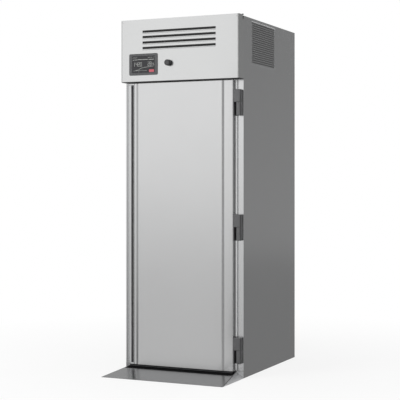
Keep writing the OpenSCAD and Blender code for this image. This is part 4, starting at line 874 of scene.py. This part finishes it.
def inked(strokes, width):
    """Flat strokes of that width just in front of the glass: a thin block along each line from end to end."""
    s = np.asarray(strokes, float)
    along = s[:, 2:] - s[:, :2]
    along /= np.linalg.norm(along, axis=1)[:, None]
    side = np.stack([-along[:, 1], along[:, 0]], -1) * width / 2
    a, b = s[:, :2] - along * width * 0.4, s[:, 2:] + along * width * 0.4
    flat = np.stack([a - side, b - side, b + side, a + side], 1)
    ink_front, ink_rear = -79.55, -79.42
    points = np.concatenate([np.insert(flat, 1, y, axis=2) for y in (ink_front, ink_rear)], 1)
    box = np.array([(0, 1, 2, 3), (7, 6, 5, 4), (0, 4, 5, 1), (1, 5, 6, 2), (2, 6, 7, 3), (3, 7, 4, 0)])
    faces = box[None] + (np.arange(len(s)) * 8)[:, None, None]
    return points.reshape(-1, 3), [faces.reshape(-1, 4)]


white_light = lit_finish("lit_white", (0.85, 0.87, 0.84), 0.2)
marks = [(x0, 2144, x1, 2144) for x0, x1 in ((-347, -338), (-334, -314), (-229, -210), (-204, -199),
                                             (-190, -184))]
bars = [(x0, z, x1, z) for x0, x1, z in ((-345, -338, 2129), (-332, -312, 2130), (-306, -232, 2131),
                                         (-224, -186, 2130))]
span = np.linspace(0, 1, 24)
rise = np.stack([-340 + 152 * span, 2062 + 15 * span + 7 * np.tanh((span - 0.3) * 9)], -1)
rows = figures("1420", -338, 2086, 26) + figures("28", -230, 2088, 25)
curve = [tuple(row) for row in np.concatenate([rise[:-1], rise[1:]], 1)]
colon = [(-309.5, 2094, -309.5, 2095), (-309.5, 2103, -309.5, 2104)]
base_lines = [(-340, 2056, -240, 2056), (-304, 2048, -298, 2048)]
small_rows = figures("75", -198, 2090, 14)
page = [(rows, 2.1), (marks, 1.8), (bars, 3.2), (small_rows, 1.5), (colon, 2.2), (curve, 2.2),
        (base_lines, 1.2)]
made("display_figures", joined(*(inked(*part) for part in page)), white_light, "fascia")
red_light = lit_finish("lit_red", (0.66, 0.13, 0.17), 0.5)
made("display_red_key", inked([(-214, 2053, -191, 2053)], 18), red_light, "fascia")

# ---- Knob ----
# A turned aluminium knob, dark anodised, with fine grip lines round its side and a spun grey disc in
# its face. It is pressed and turned on the encoder's shaft.
knob_dark = moulded_finish("knob_dark", (0.03, 0.03, 0.032), (0.045, 0.045, 0.048), 0.4, 1500, 0.00003)
duller(knob_dark, 0.2)
disc_metal = brushed_steel("knob_disc", (0.11, 0.11, 0.114), 0.3, (900, 900, 900), 0.12, 0.00005)
grip = turned([(0, 0), (19.6, 0), (20.6, 0.8), (21, 2), (21, 4.4), (20.4, 7), (20, 9)], around=48)
side_part = turned([(20, 9), (20.2, 10), (20.3, 21), (20, 23.5)], around=192, ripple=0.016, lobes=48)
face_part = turned([(20, 23.4), (19.9, 25.4), (18.9, 26.8), (17.3, 27), (16.1, 26.2), (15.7, 25.2),
                    (0, 25.2)], around=48)
disc = turned([(0, 24.9), (15.5, 24.9), (15.5, 25.5), (15.1, 25.8), (0.6, 25.5), (0, 25.5)], around=48)
knob_at = (knob_x, -81, knob_z)


def on_spindle(shape):
    """Stands a shape on the knob's seat, pointing to the front."""
    points, faces = facing(shape, "y", -1)
    return points + knob_at, faces


knob_shape = on_spindle(joined(grip, side_part, face_part))
made("knob_body", knob_shape, knob_dark, "knob", ("control_knob",))
made("knob_face_disc", on_spindle(disc), disc_metal, "knob")
dressed("encoder_shaft", pin_steel)
black_case = moulded_finish("black_case", (0.03, 0.03, 0.032), (0.05, 0.05, 0.052), 0.5)
dressed("control_module", black_case, 1.0)

# ---- Machine tray ----
# A galvanised sheet with two turned-up edges that lies on the insulated ceiling. It carries the
# condensing unit, and its zinc shows large pale crystals.
spangle, _, crystal_place, ends = pattern_group("zinc_spangle", ["Tone", "Height"])
crystal = added(spangle, "TexVoronoi", Scale=1.0)
joint(spangle, crystal_place, crystal.inputs["Vector"])
bright = added(spangle, "SeparateColor")
joint(spangle, crystal.outputs["Color"], bright.inputs["Color"])
joint(spangle, bright.outputs["Red"], ends.inputs["Tone"])
joint(spangle, crystal.outputs["Distance"], ends.inputs["Height"])


def galvanised(name, dark, light, size):
    """Zinc-coated sheet whose crystals each have their own tone."""
    material, tree, shader, flakes = patterned(name, 0.42, 0.85, spangle, (size,) * 3, ("Tone", "Height"),
                                               dark, light, 0.00005)
    joint(tree, ranged(tree, flakes.outputs["Tone"], 0.34, 0.5), shader.inputs["Roughness"])
    return material


zinc = galvanised("galvanised_sheet", (0.48, 0.5, 0.52), (0.66, 0.68, 0.7), 110)
dressed("machine_tray", zinc, 0.4)

# ---- Compressor ----
# A hermetic compressor: two deep-drawn halves welded at a flange, painted black, with a terminal
# cover on its side. It stands on a pressed base plate with four rubber feet and bolts.
deck, comp_x, comp_y, feet_height = 2001.5, 190, 380, 26
comp_at = np.array([comp_x, comp_y, deck + feet_height])
black_paint = moulded_finish("black_paint", (0.018, 0.018, 0.02), (0.035, 0.035, 0.038), 0.3, 350, 0.00015)
angle = np.linspace(0, np.pi / 2, 9)
lower_dome = np.column_stack([52 + 33 * np.sin(angle), 5 + 32 - 32 * np.cos(angle)])
upper_dome = np.column_stack([40 + 45 * np.cos(angle), 186 + 34 * np.sin(angle)])
flange = [(85, 102), (88, 104), (88, 116), (85, 118)]
casing = np.concatenate([[(0, 5)], lower_dome, flange, upper_dome, [(0, 220)]])
cover = bar((-110, -30, 122), (-60, 30, 190), 5, "x")
plate = drawn(eased_outline(box_outline(-88, -88, 88, 88), 26, 5), 0, 5)
bolt = turned([(0, 0), (7, 0), (7, 5), (6, 6), (4, 6), (4, 11), (0, 11)], (0, 0, 5), around=6)
feet_at = [(x, y, 0) for x in (-75, 75) for y in (-75, 75)]
stub_aside = 30
stub = turned([(0, 214), (7, 214), (7, 221), (0, 221)], (stub_aside, 0, 0), around=16)
shape = joined(turned(casing, around=56), cover, plate, repeated(bolt, feet_at), stub)
made("compressor_shell", repeated(shape, [comp_at]), black_paint, "cabinet", ("compressor",))
mount = turned([(0, 0), (13, 0), (13, 6), (9.5, 10), (9.5, 15), (13, 19), (13, feet_height),
                (0, feet_height)], around=24)
mounts = repeated(mount, [np.add(p, comp_at) - (0, 0, feet_height) for p in feet_at])
made("compressor_grommets", mounts, rubber, "cabinet", ("compressor_mounts",))

# ---- Condenser and its fan ----
# Thin aluminium fins pressed on rows of copper tube, with bare bends at both ends. Behind it are a
# galvanised shroud and a motor with five twisted blades.
fin_metal = brushed_steel("fin_metal", (0.72, 0.73, 0.74), 0.38, (80, 80, 80), 0.06, 0.0002)
tarnish = moulded_finish("copper_tube", (0.5, 0.23, 0.13), (0.72, 0.38, 0.24), 0.3, 120, 0.00005, 1.0)


def fin_stack(x0, x1, y0, y1, z0, z1, pitch, fin=0.3):
    """Upright fins between x0 and x1: thin blocks as thick as a fin, one every pitch, numbered together."""
    at = np.arange(x0, x1 - fin, pitch)
    ring = ((y0, 0), (y0, fin), (y1, fin), (y1, 0))
    corner = np.array([(x, y, z) for z in (z0, z1) for y, x in ring], float)
    points = corner[None] + np.column_stack([at, 0 * at, 0 * at])[:, None]
    sides = np.array([(0, 1, 5, 4), (1, 2, 6, 5), (2, 3, 7, 6), (3, 0, 4, 7), (3, 2, 1, 0), (4, 5, 6, 7)])
    return points.reshape(-1, 3), [(sides[None] + (np.arange(len(at)) * 8)[:, None, None]).reshape(-1, 4)]


def piped(corners, radius, bend, around=12, steps=6):
    """A round pipe through corner points, with a curve at each corner that starts and ends a bend's
    length from it. The section is the centre plus radius times cos and sin along two directions across
    the path."""
    p = np.asarray(corners, float)
    way = np.diff(p, axis=0)
    length = np.linalg.norm(way, axis=1)[:, None]
    way = way / length
    reach = np.minimum(bend, np.minimum(length[:-1], length[1:]) * 0.49)
    bends = curved(p[1:-1] - way[:-1] * reach, p[1:-1], p[1:-1] + way[1:] * reach, steps)
    path = np.concatenate([p[:1], bends, p[-1:]])
    along = np.gradient(path, axis=0)
    along /= np.linalg.norm(along, axis=1)[:, None]
    across = np.cross(along, (0.31, 0.53, 0.79))
    across /= np.linalg.norm(across, axis=1)[:, None]
    over = np.cross(along, across)
    angle = np.linspace(0, 2 * np.pi, around, endpoint=False)[None, :, None]
    return lofted(path[:, None] + radius * (np.cos(angle) * across[:, None] + np.sin(angle) * over[:, None]))


def tube_bends(x0, x1, y, z0, step, rows, radius):
    """The half rings that join the tube rows of a coil, at its right end and its left end by turns, each
    with a short straight inside the fins."""
    bends = []
    for i in range(rows - 1):
        end, way = (x1, 1) if i % 2 == 0 else (x0, -1)
        low, high = z0 + step * (i + 0.5), z0 + step * (i + 1.5)
        inside, outside = end - 6 * way, end + step * 0.5 * way
        route = [(inside, y, low), (outside, y, low), (outside, y, high), (inside, y, high)]
        bends.append(piped(route, radius, step * 0.49, 10))
    return joined(*bends)


tube_step, tube_radius = 40, 5
cond_left, cond_right, cond_y, cond_half = -281, 161, 95, 25
plates = [bar((x - 1, cond_y - cond_half, deck), (x + 1, cond_y + cond_half, deck + 287), 0.4)
          for x in (cond_left, cond_right)]
fins = fin_stack(cond_left + 1.5, cond_right - 1.5, cond_y - cond_half + 0.5, cond_y + cond_half - 0.5,
                 deck + 6, deck + 286, 3.0)
made("condenser_fins", joined(fins, *plates), fin_metal, "cabinet", ("condenser_coil",))
coil_bends = tube_bends(cond_left, cond_right, cond_y, deck + 6, tube_step, 7, tube_radius)
made("condenser_tube_bends", coil_bends, tarnish, "cabinet")
fan_x, fan_z, shroud_sides = -60, 2147.5, 64
hole = np.linspace(0, 2 * np.pi, shroud_sides, endpoint=False) + np.pi / 4
round_way = np.stack([np.cos(hole), np.sin(hole)], -1)
wide = round_way / np.abs(round_way).max(1)[:, None] * (220, 143)
# The pressing is a plate with a rolled mouth, given as pairs of (radius, y) from the plate round its lip.
mouth = [(121, 122), (117, 124), (116, 130), (116, 148), (119, 150), (120, 149), (114.5, 149), (114.5, 128),
         (119, 120)]
shroud_rings = [(wide, 120), (wide, 122), *((round_way * radius, y) for radius, y in mouth)]
shroud = [ring_at(edge + (fan_x, fan_z), y)[:, AXES["y"]] for edge, y in shroud_rings]
made("fan_shroud_pressing", lofted(shroud, closed=True), zinc, "cabinet", ("fan_shroud",))


def fan_blades(centre, inner, outer, depth, count, thickness):
    """Twisted blades round Y: the angle is the blade's own plus the chord's share, wider towards the tip,
    and the depth follows the chord with a small hollow. The back skin is the front one moved by the
    thickness."""
    points_across = 9
    u = np.linspace(0, 1, points_across)[:, None]
    v = np.linspace(0, 1, points_across)[None]
    radius = inner + (outer - inner) * u + 0 * v
    half = 0.42 + 0.12 * np.sin(np.pi * u * 0.9) - 0.16 * u
    y = 2 + (depth - 6) * v + 2.5 * np.sin(np.pi * v) * u
    n = points_across ** 2
    grid = woven(points_across, points_across)
    edge = np.concatenate([np.arange(points_across), np.arange(2, points_across + 1) * points_across - 1,
                           np.arange(n - 2, n - points_across - 1, -1),
                           np.arange(points_across - 2, 0, -1) * points_across])
    after = np.roll(edge, -1)
    faces = [grid, grid[:, ::-1] + n, np.stack([edge, after, after + n, edge + n], -1)]
    blades = []
    for i in range(count):
        angle = 2 * np.pi * i / count + (v - 0.5) * 2 * half + 0.25 * u
        front = np.stack([radius * np.cos(angle), y, radius * np.sin(angle)], -1).reshape(-1, 3)
        blades.append((np.concatenate([front, front + (0, thickness, 0)]) + centre, faces))
    return joined(*blades)


def hub(centre, radius, depth):
    """A fan's moulded hub: a shallow cup with a rounded nose."""
    return turned([(0, 0), (radius * 0.55, 0), (radius * 0.9, 2.5), (radius, 6), (radius, depth),
                   (radius * 0.86, depth), (radius * 0.82, depth - 3), (0, depth - 3)], centre, "y", 36)


fan_plastic = moulded_finish("fan_plastic", (0.05, 0.05, 0.052), (0.075, 0.075, 0.078), 0.5, 900)
cond_fan = (fan_x, 121, fan_z)
fan_shape = joined(fan_blades(cond_fan, 30, 109, 28, 5, 2.2), hub(cond_fan, 32, 28))
made("condenser_fan_blades", fan_shape, fan_plastic, "condenser_fan", ("condenser_fan",))
motor_at = (fan_x, 166, fan_z)
motor = turned([(0, 0), (12, 0), (14, 3), (34, 4), (38, 8), (38, 30), (36.5, 31), (36.5, 34), (38, 35),
                (38, 48), (33, 54), (0, 55)], motor_at, "y", 40)
arm, strap_y, strap_width = 128, 186, 16
legs = (fan_x - arm, fan_x + arm - strap_width)
straps = [bar((fan_x - arm, strap_y, fan_z - 10), (fan_x + arm, strap_y + 3, fan_z + 10), 0.8, "x")]
straps += [bar((x, strap_y, deck), (x + strap_width, strap_y + 3, fan_z + 10), 0.8) for x in legs]
straps += [bar((x, strap_y, deck), (x + strap_width, strap_y + 25, deck + 3), 0.8, "y") for x in legs]
spindle = turned([(0, -24), (3, -24), (3, 1), (0, 1)], motor_at, "y", 16)
motor_shape = joined(motor, spindle, *straps)
made("condenser_motor_body", motor_shape, black_paint, "cabinet", ("condenser_fan_motor",))

# ---- Refrigerant parts ----
# A black steel receiver, a copper drier in its bracket, and drawn copper pipe between them. The
# pipes are bent by hand and brazed, so each has wide bends and a bright collar where it ends.
receiver_x, drier_x, line_y = 30, -60, 340
receiver = turned([(0, 0), (39, 0), (39, 6), (31, 6), (38, 9), (43, 14), (45, 22), (45, 188), (43, 197),
                   (37, 204), (28, 208), (14, 210), (14, 216), (0, 216)],
                  (receiver_x, line_y, deck), around=40)
valve = turned([(0, 0), (9, 0), (9, 8), (0, 8)], (receiver_x, line_y, deck + 210), around=6)
receiver_body = joined(receiver, valve)
made("liquid_receiver_body", receiver_body, black_paint, "cabinet", ("liquid_receiver",))
drier = turned([(0, 0), (6, 0), (6, 4), (10, 9), (17, 13), (20, 18), (20, 122), (17, 127), (10, 131),
                (6, 136), (6, 140), (0, 140)], (drier_x, line_y, deck + 55), around=28)
strip = bar((drier_x - 20, line_y - 23.5, deck), (drier_x + 20, line_y - 20.5, deck + 120), 0.8)
foot = bar((drier_x - 20, line_y - 43, deck), (drier_x + 20, line_y - 21, deck + 3), 0.8)
made("filter_drier_body", drier, tarnish, "cabinet", ("filter_drier",))
made("filter_drier_bracket", joined(strip, foot), zinc, "cabinet")
# Hot gas goes to the condenser's top row, and liquid from its bottom row through the receiver and the
# drier down the duct to the evaporator. Cold gas comes back up to the compressor's side.
stub_x, top_row, bottom_row = comp_x + stub_aside, deck + 266, deck + 26
duct_y, coil_top, over_z, suction_z = 877, 1618, deck + 240, 2087.5
hot_gas = [(stub_x, comp_y, 2246), (stub_x, comp_y, top_row), (stub_x, cond_y, top_row),
           (cond_right, cond_y, top_row)]
to_receiver = [(cond_left, cond_y, bottom_row), (-320, cond_y, bottom_row), (-320, 225, bottom_row),
               (receiver_x, 225, bottom_row), (receiver_x, line_y - 45, bottom_row)]
to_drier = [(receiver_x, line_y, 2217), (receiver_x, line_y, over_z), (drier_x, line_y, over_z),
            (drier_x, line_y, 2196)]
to_coil = [(drier_x, line_y, 2057), (drier_x, line_y, deck + 25), (drier_x, duct_y, deck + 25),
           (drier_x, duct_y, coil_top)]
cold_gas = [(0, duct_y, coil_top), (0, duct_y, suction_z), (comp_x, 792, suction_z),
            (comp_x, comp_y + 84, suction_z)]
pipes = joined(*[piped(route, tube_radius, 17, 14)
                 for route in (hot_gas, to_receiver, to_drier, to_coil, cold_gas)])
made("refrigerant_pipe_runs", pipes, tarnish, "cabinet", ("refrigerant_pipes",))
collar_places = [((stub_x, comp_y, 2250), "z"), ((cond_right + 7, cond_y, top_row), "x"),
                 ((cond_left - 7, cond_y, bottom_row), "x"), ((receiver_x, line_y - 51, bottom_row), "y"),
                 ((receiver_x, line_y, 2224), "z"), ((drier_x, line_y, 2202), "z"),
                 ((drier_x, line_y, 2052), "z"), ((comp_x, comp_y + 91, suction_z), "y")]
collars = [turned([(0, -6), (6, -6), (6.4, 0), (6, 6), (0, 6)], place, axis, 16)
           for place, axis in collar_places]
brass = moulded_finish("turned_brass", (0.62, 0.46, 0.2), (0.78, 0.62, 0.32), 0.28, 200, 0.00003, 1.0)
made("brazed_collars", joined(*collars), brass, "cabinet")

# ---- Controls and steam generator ----
# A grey box holds the contactors behind a screwed lid. Beside it stands the white steam generator,
# with two ribs, a round cap over its cleaning hole and a rubber steam pipe.
box_paint = galvanised("box_sheet", (0.56, 0.57, 0.58), (0.6, 0.61, 0.62), 60)
box = bar((-415, 240, deck), (-285, 540, deck + 260), 2.5)
lid = bar((-285.2, 250, deck + 10), (-281, 530, deck + 250), 1.6)
made("control_box_body", joined(box, lid), box_paint, "cabinet", ("control_box",))
lid_places = [(-281, y, z) for y in (262, 518) for z in (deck + 22, deck + 238)]
lid_screws = repeated(facing(pan_head(4, 2), "x", 1), lid_places)
made("control_box_screws", lid_screws, pin_steel, "cabinet")
glands = repeated(turned([(0, 0), (9, 0), (9, 3), (7, 4), (7, 12), (5, 15), (0, 15)], around=8),
                  [(-350, y, deck + 259) for y in (300, 340, 380)])
made("control_box_glands", glands, black_case, "cabinet")
white_case = moulded_finish("white_case", (0.72, 0.72, 0.7), (0.82, 0.82, 0.8), 0.4, 800)
tank_x, tank_y, tank_half_x, tank_half_y = -320, 690, 80, 70
ribs = [bar((tank_x - tank_half_x - 0.5, y, deck + 20), (tank_x + tank_half_x + 0.5, y + 4, deck + 200), 1.5)
        for y in (tank_y - 35, tank_y + 30)]
tank = bar((tank_x - tank_half_x, tank_y - tank_half_y, deck),
           (tank_x + tank_half_x, tank_y + tank_half_y, deck + 230), 7)
cleaning_cap = turned([(0, 0), (50, 0), (50, 9), (47, 14), (20, 14), (18, 12), (0, 12)],
                      (tank_x, tank_y, deck + 229), around=40)
generator = joined(tank, *ribs, cleaning_cap)
made("steam_generator_body", generator, white_case, "cabinet", ("steam_generator",))
steam_y, steam_low, steam_high, steam_left, steam_right = 887, 1250, deck + 60, -340, 200
steam_route = [(tank_x, tank_y + tank_half_y - 1, steam_high), (tank_x, steam_y, steam_high),
               (steam_left, steam_y, steam_high), (steam_left, steam_y, steam_low),
               (steam_right, steam_y, steam_low)]
nozzle = facing(turned([(0, 0), (5, 0), (5.6, 12), (4.2, 16), (0, 16)], around=14), "y", -1)
step = (steam_right - steam_left) / 5.5
nozzles = repeated(nozzle, [(steam_left + i * step, steam_y - 6, steam_low) for i in range(1, 6)])
steam_pipe = joined(piped(steam_route, 11.8, 34, 20, 8), nozzles)
made("steam_pipe_run", steam_pipe, rubber, "cabinet", ("steam_pipe",))

# ---- Evaporator, heater and drain ----
# The evaporator hangs in the air duct over a heating tube and a folded drip tray, whose grey pipe
# runs down to a spout behind the back panel.
coil_y = 881.5
fins = fin_stack(-299.5, 299.5, 854.5, 908.5, 1380, 1620, 4.0)
ends_of_coil = [bar((x, 854, 1370), (x + 2, 917, 1630), 0.4) for x in (-301, 299)]
made("evaporator_fins", joined(fins, *ends_of_coil), fin_metal, "cabinet", ("evaporator_coil",))
coil_bends = tube_bends(-300, 300, coil_y, 1380, tube_step, 6, tube_radius)
made("evaporator_tube_bends", coil_bends, tarnish, "cabinet")
baked_tube = moulded_finish("baked_tube", (0.12, 0.09, 0.08), (0.24, 0.2, 0.18), 0.45, 90, 0.0001, 0.7)
heat_route = [(x, coil_y, z) for x, z in ((-260, 1318), (272, 1318), (272, 1342), (-272, 1342), (-272, 1366),
                                          (260, 1366))]
clips = [bar((x - 6, 875.5, 1312), (x + 6, 917, 1372), 0.8) for x in (-130, 130)]
heater = joined(piped(heat_route, 4, 11.8, 12), *clips)
made("heater_tube", heater, baked_tube, "cabinet", ("heater_element",))
dressed("drain_tray", lining_steel, 0.4)
grey_pipe = moulded_finish("grey_pipe", (0.36, 0.37, 0.38), (0.44, 0.45, 0.46), 0.45, 500)
drain_x, drain_z = 320, 90
drain_route = [(280, duct_y, 1281), (280, duct_y, 1250), (drain_x, duct_y, 1250), (drain_x, duct_y, drain_z),
               (drain_x, rear_y + 1, drain_z)]
spout = turned([(0, 0), (20, 0), (20, 4), (16, 5), (16, 28), (15, 30), (12, 30), (12, 6), (0, 6)], around=32)
spout = facing(spout, "y", 1)
drain = joined(piped(drain_route, 14, 19, 20, 8), repeated(spout, [(drain_x, rear_y, drain_z)]))
made("drain_pipe_run", drain, grey_pipe, "cabinet", ("drain_pipe",))

# ---- Circulation fans ----
# Two fans blow the chamber's air over the evaporator. Their motors stand on crossed arms, and
# welded wire guards close the openings in the duct panel.
wire_steel = brushed_steel("wire_steel", (0.7, 0.71, 0.72), 0.2, (500, 500, 500), 0.06, 0.00002)
housing = turned([(0, 0), (9, 0), (10, 2), (27, 3), (30, 6), (30, 40), (27, 44), (0, 44)], axis="y",
                 around=36)
fan_offset, fan_height, guard_y, wire = 180, 1780, 825.5, 1.5
motors, guards = [], []
spin = np.linspace(0, 2 * np.pi, 72, endpoint=False)[:, None, None]
tube = np.linspace(0, 2 * np.pi, 8, endpoint=False)[None, :, None]
for side, fan_node, body in ((-1, "evaporator_fan_left", "fan_left"),
                             (1, "evaporator_fan_right", "fan_right")):
    x = side * fan_offset
    at, motor_at = (x, 837, fan_height), (x, 869, fan_height)
    fan_shape = joined(fan_blades(at, 25, 94, 30, 5, 2), hub(at, 27, 30))
    made(fan_node + "_blades", fan_shape, fan_plastic, body, (fan_node,))
    motors += [repeated(housing, [motor_at]), turned([(0, -15), (3, -15), (3, 1), (0, 1)], motor_at, "y", 14),
               bar((x - 70, 913, fan_height - 8), (x + 70, 917, fan_height + 8), 0.9, "x"),
               bar((x - 8, 913, fan_height - 70), (x + 8, 917, fan_height + 70), 0.9)]
    for radius in (27, 54, 81, 107.4):
        out = radius - wire + wire * np.cos(tube)
        ring_points = np.concatenate([out * np.cos(spin), guard_y + wire * np.sin(tube) + 0 * spin,
                                      out * np.sin(spin)], -1)
        guards.append(lofted(ring_points + (x, 0, fan_height), closed=True))
    for turn_by in (0, np.pi / 3, 2 * np.pi / 3):
        way = np.array([np.cos(turn_by), 0, np.sin(turn_by)])
        middle = np.array([x, guard_y, fan_height])
        guards.append(piped([middle - way * 106, middle, middle + way * 106], wire, 1, 8, 1))
made("circulation_motors", joined(*motors), black_paint, "cabinet", ("evaporator_fan_motors",))
made("wire_guards", joined(*guards), wire_steel, "cabinet", ("fan_guards",))

# ---- Chamber fittings ----
# A slotted panel closes the air duct, bumper rails guard the walls, and a light bar and an air probe
# are screwed to the linings.
dressed("air_duct_panel", lining_steel, 0.4)
duct_places = [(x, 827, z) for x in (-350, 350) for z in np.linspace(90, 1900, 7)]
duct_screws = repeated(facing(pan_head(4.5, 2), "y", -1), duct_places)
made("duct_panel_screws", duct_screws, pin_steel, "cabinet")
rail_steel = brushed_steel("rail_steel", (0.64, 0.645, 0.655), 0.34, (200, 5, 200), 0.06, 0.0004)
dressed("bumper_rails", rail_steel, 1.0)
opal = moulded_finish("opal_cover", (0.86, 0.86, 0.84), (0.92, 0.92, 0.9), 0.35, 600, 0.00002)
cap_section = eased_outline([(49.5, 1939.8), (49.5, 1930), (56, 1928.2), (72, 1928.2), (78.5, 1930),
                             (78.5, 1939.8)], 3, 4)
made("chamber_light_bar", drawn(cap_section, -216, 216, "x"), opal, "cabinet", ("chamber_lamp",))
ends_of_bar = [bar((x, 49, 1928), (x + 14, 79, 1940), 1.4, "x") for x in (-230, 216)]
made("light_bar_ends", joined(*ends_of_bar), white_case, "cabinet")
probe = facing(turned([(0, 0), (8, 0), (8, 4), (6.6, 5), (6.6, 18), (5, 21.5), (0, 22)], around=24), "x", -1)
probe_block = bar((362, 749, 1542), (370, 785, 1578), 2.2, "x")
probe_shape = joined(probe_block, repeated(probe, [(362, 767, 1560)]))
made("air_probe", probe_shape, black_case, "cabinet", ("chamber_probe",))

# ---- Connections ----
# The mains lead passes a hexagonal gland in the back panel, and water comes in at a brass spout.
# Both are tightened from behind with a nut.
def on_back(parts, x):
    """Turned parts, each a profile and a number of sides, standing one over another at that X of the
    back panel."""
    return joined(*[turned(profile, (x, rear_y, 2060), "y", sides) for profile, sides in parts])


gland_parts = [([(0, -13.5), (10, -13.5), (10, 0), (0, 0)], 24),
               ([(0, 0), (15, 0), (15, 7), (13.5, 8), (0, 8)], 6),
               ([(0, -7.5), (15, -7.5), (15, -1.5), (0, -1.5)], 6),
               ([(0, 8), (10, 8), (10, 17), (8.5, 21), (6, 22), (4.5, 22), (4.5, 14), (0, 14)], 24)]
made("cable_gland_body", on_back(gland_parts, -330), black_case, "cabinet", ("cable_gland",))
thread = [(r, y) for i in range(6) for r, y in ((13, 7 + 2 * i), (12.2, 8 + 2 * i))]
inlet_parts = [([(0, -21.5), (11, -21.5), (11, 0), (0, 0)], 28),
               ([(0, -7.5), (19, -7.5), (19, -1.5), (0, -1.5)], 6),
               ([(0, 0), (13, 0), (13, 6.5), *thread, (12, 20), (9, 20), (9, 4), (0, 4)], 28)]
made("water_inlet_spout", on_back(inlet_parts, 330), brass, "cabinet", ("water_inlet",))

bpy.context.view_layer.update()
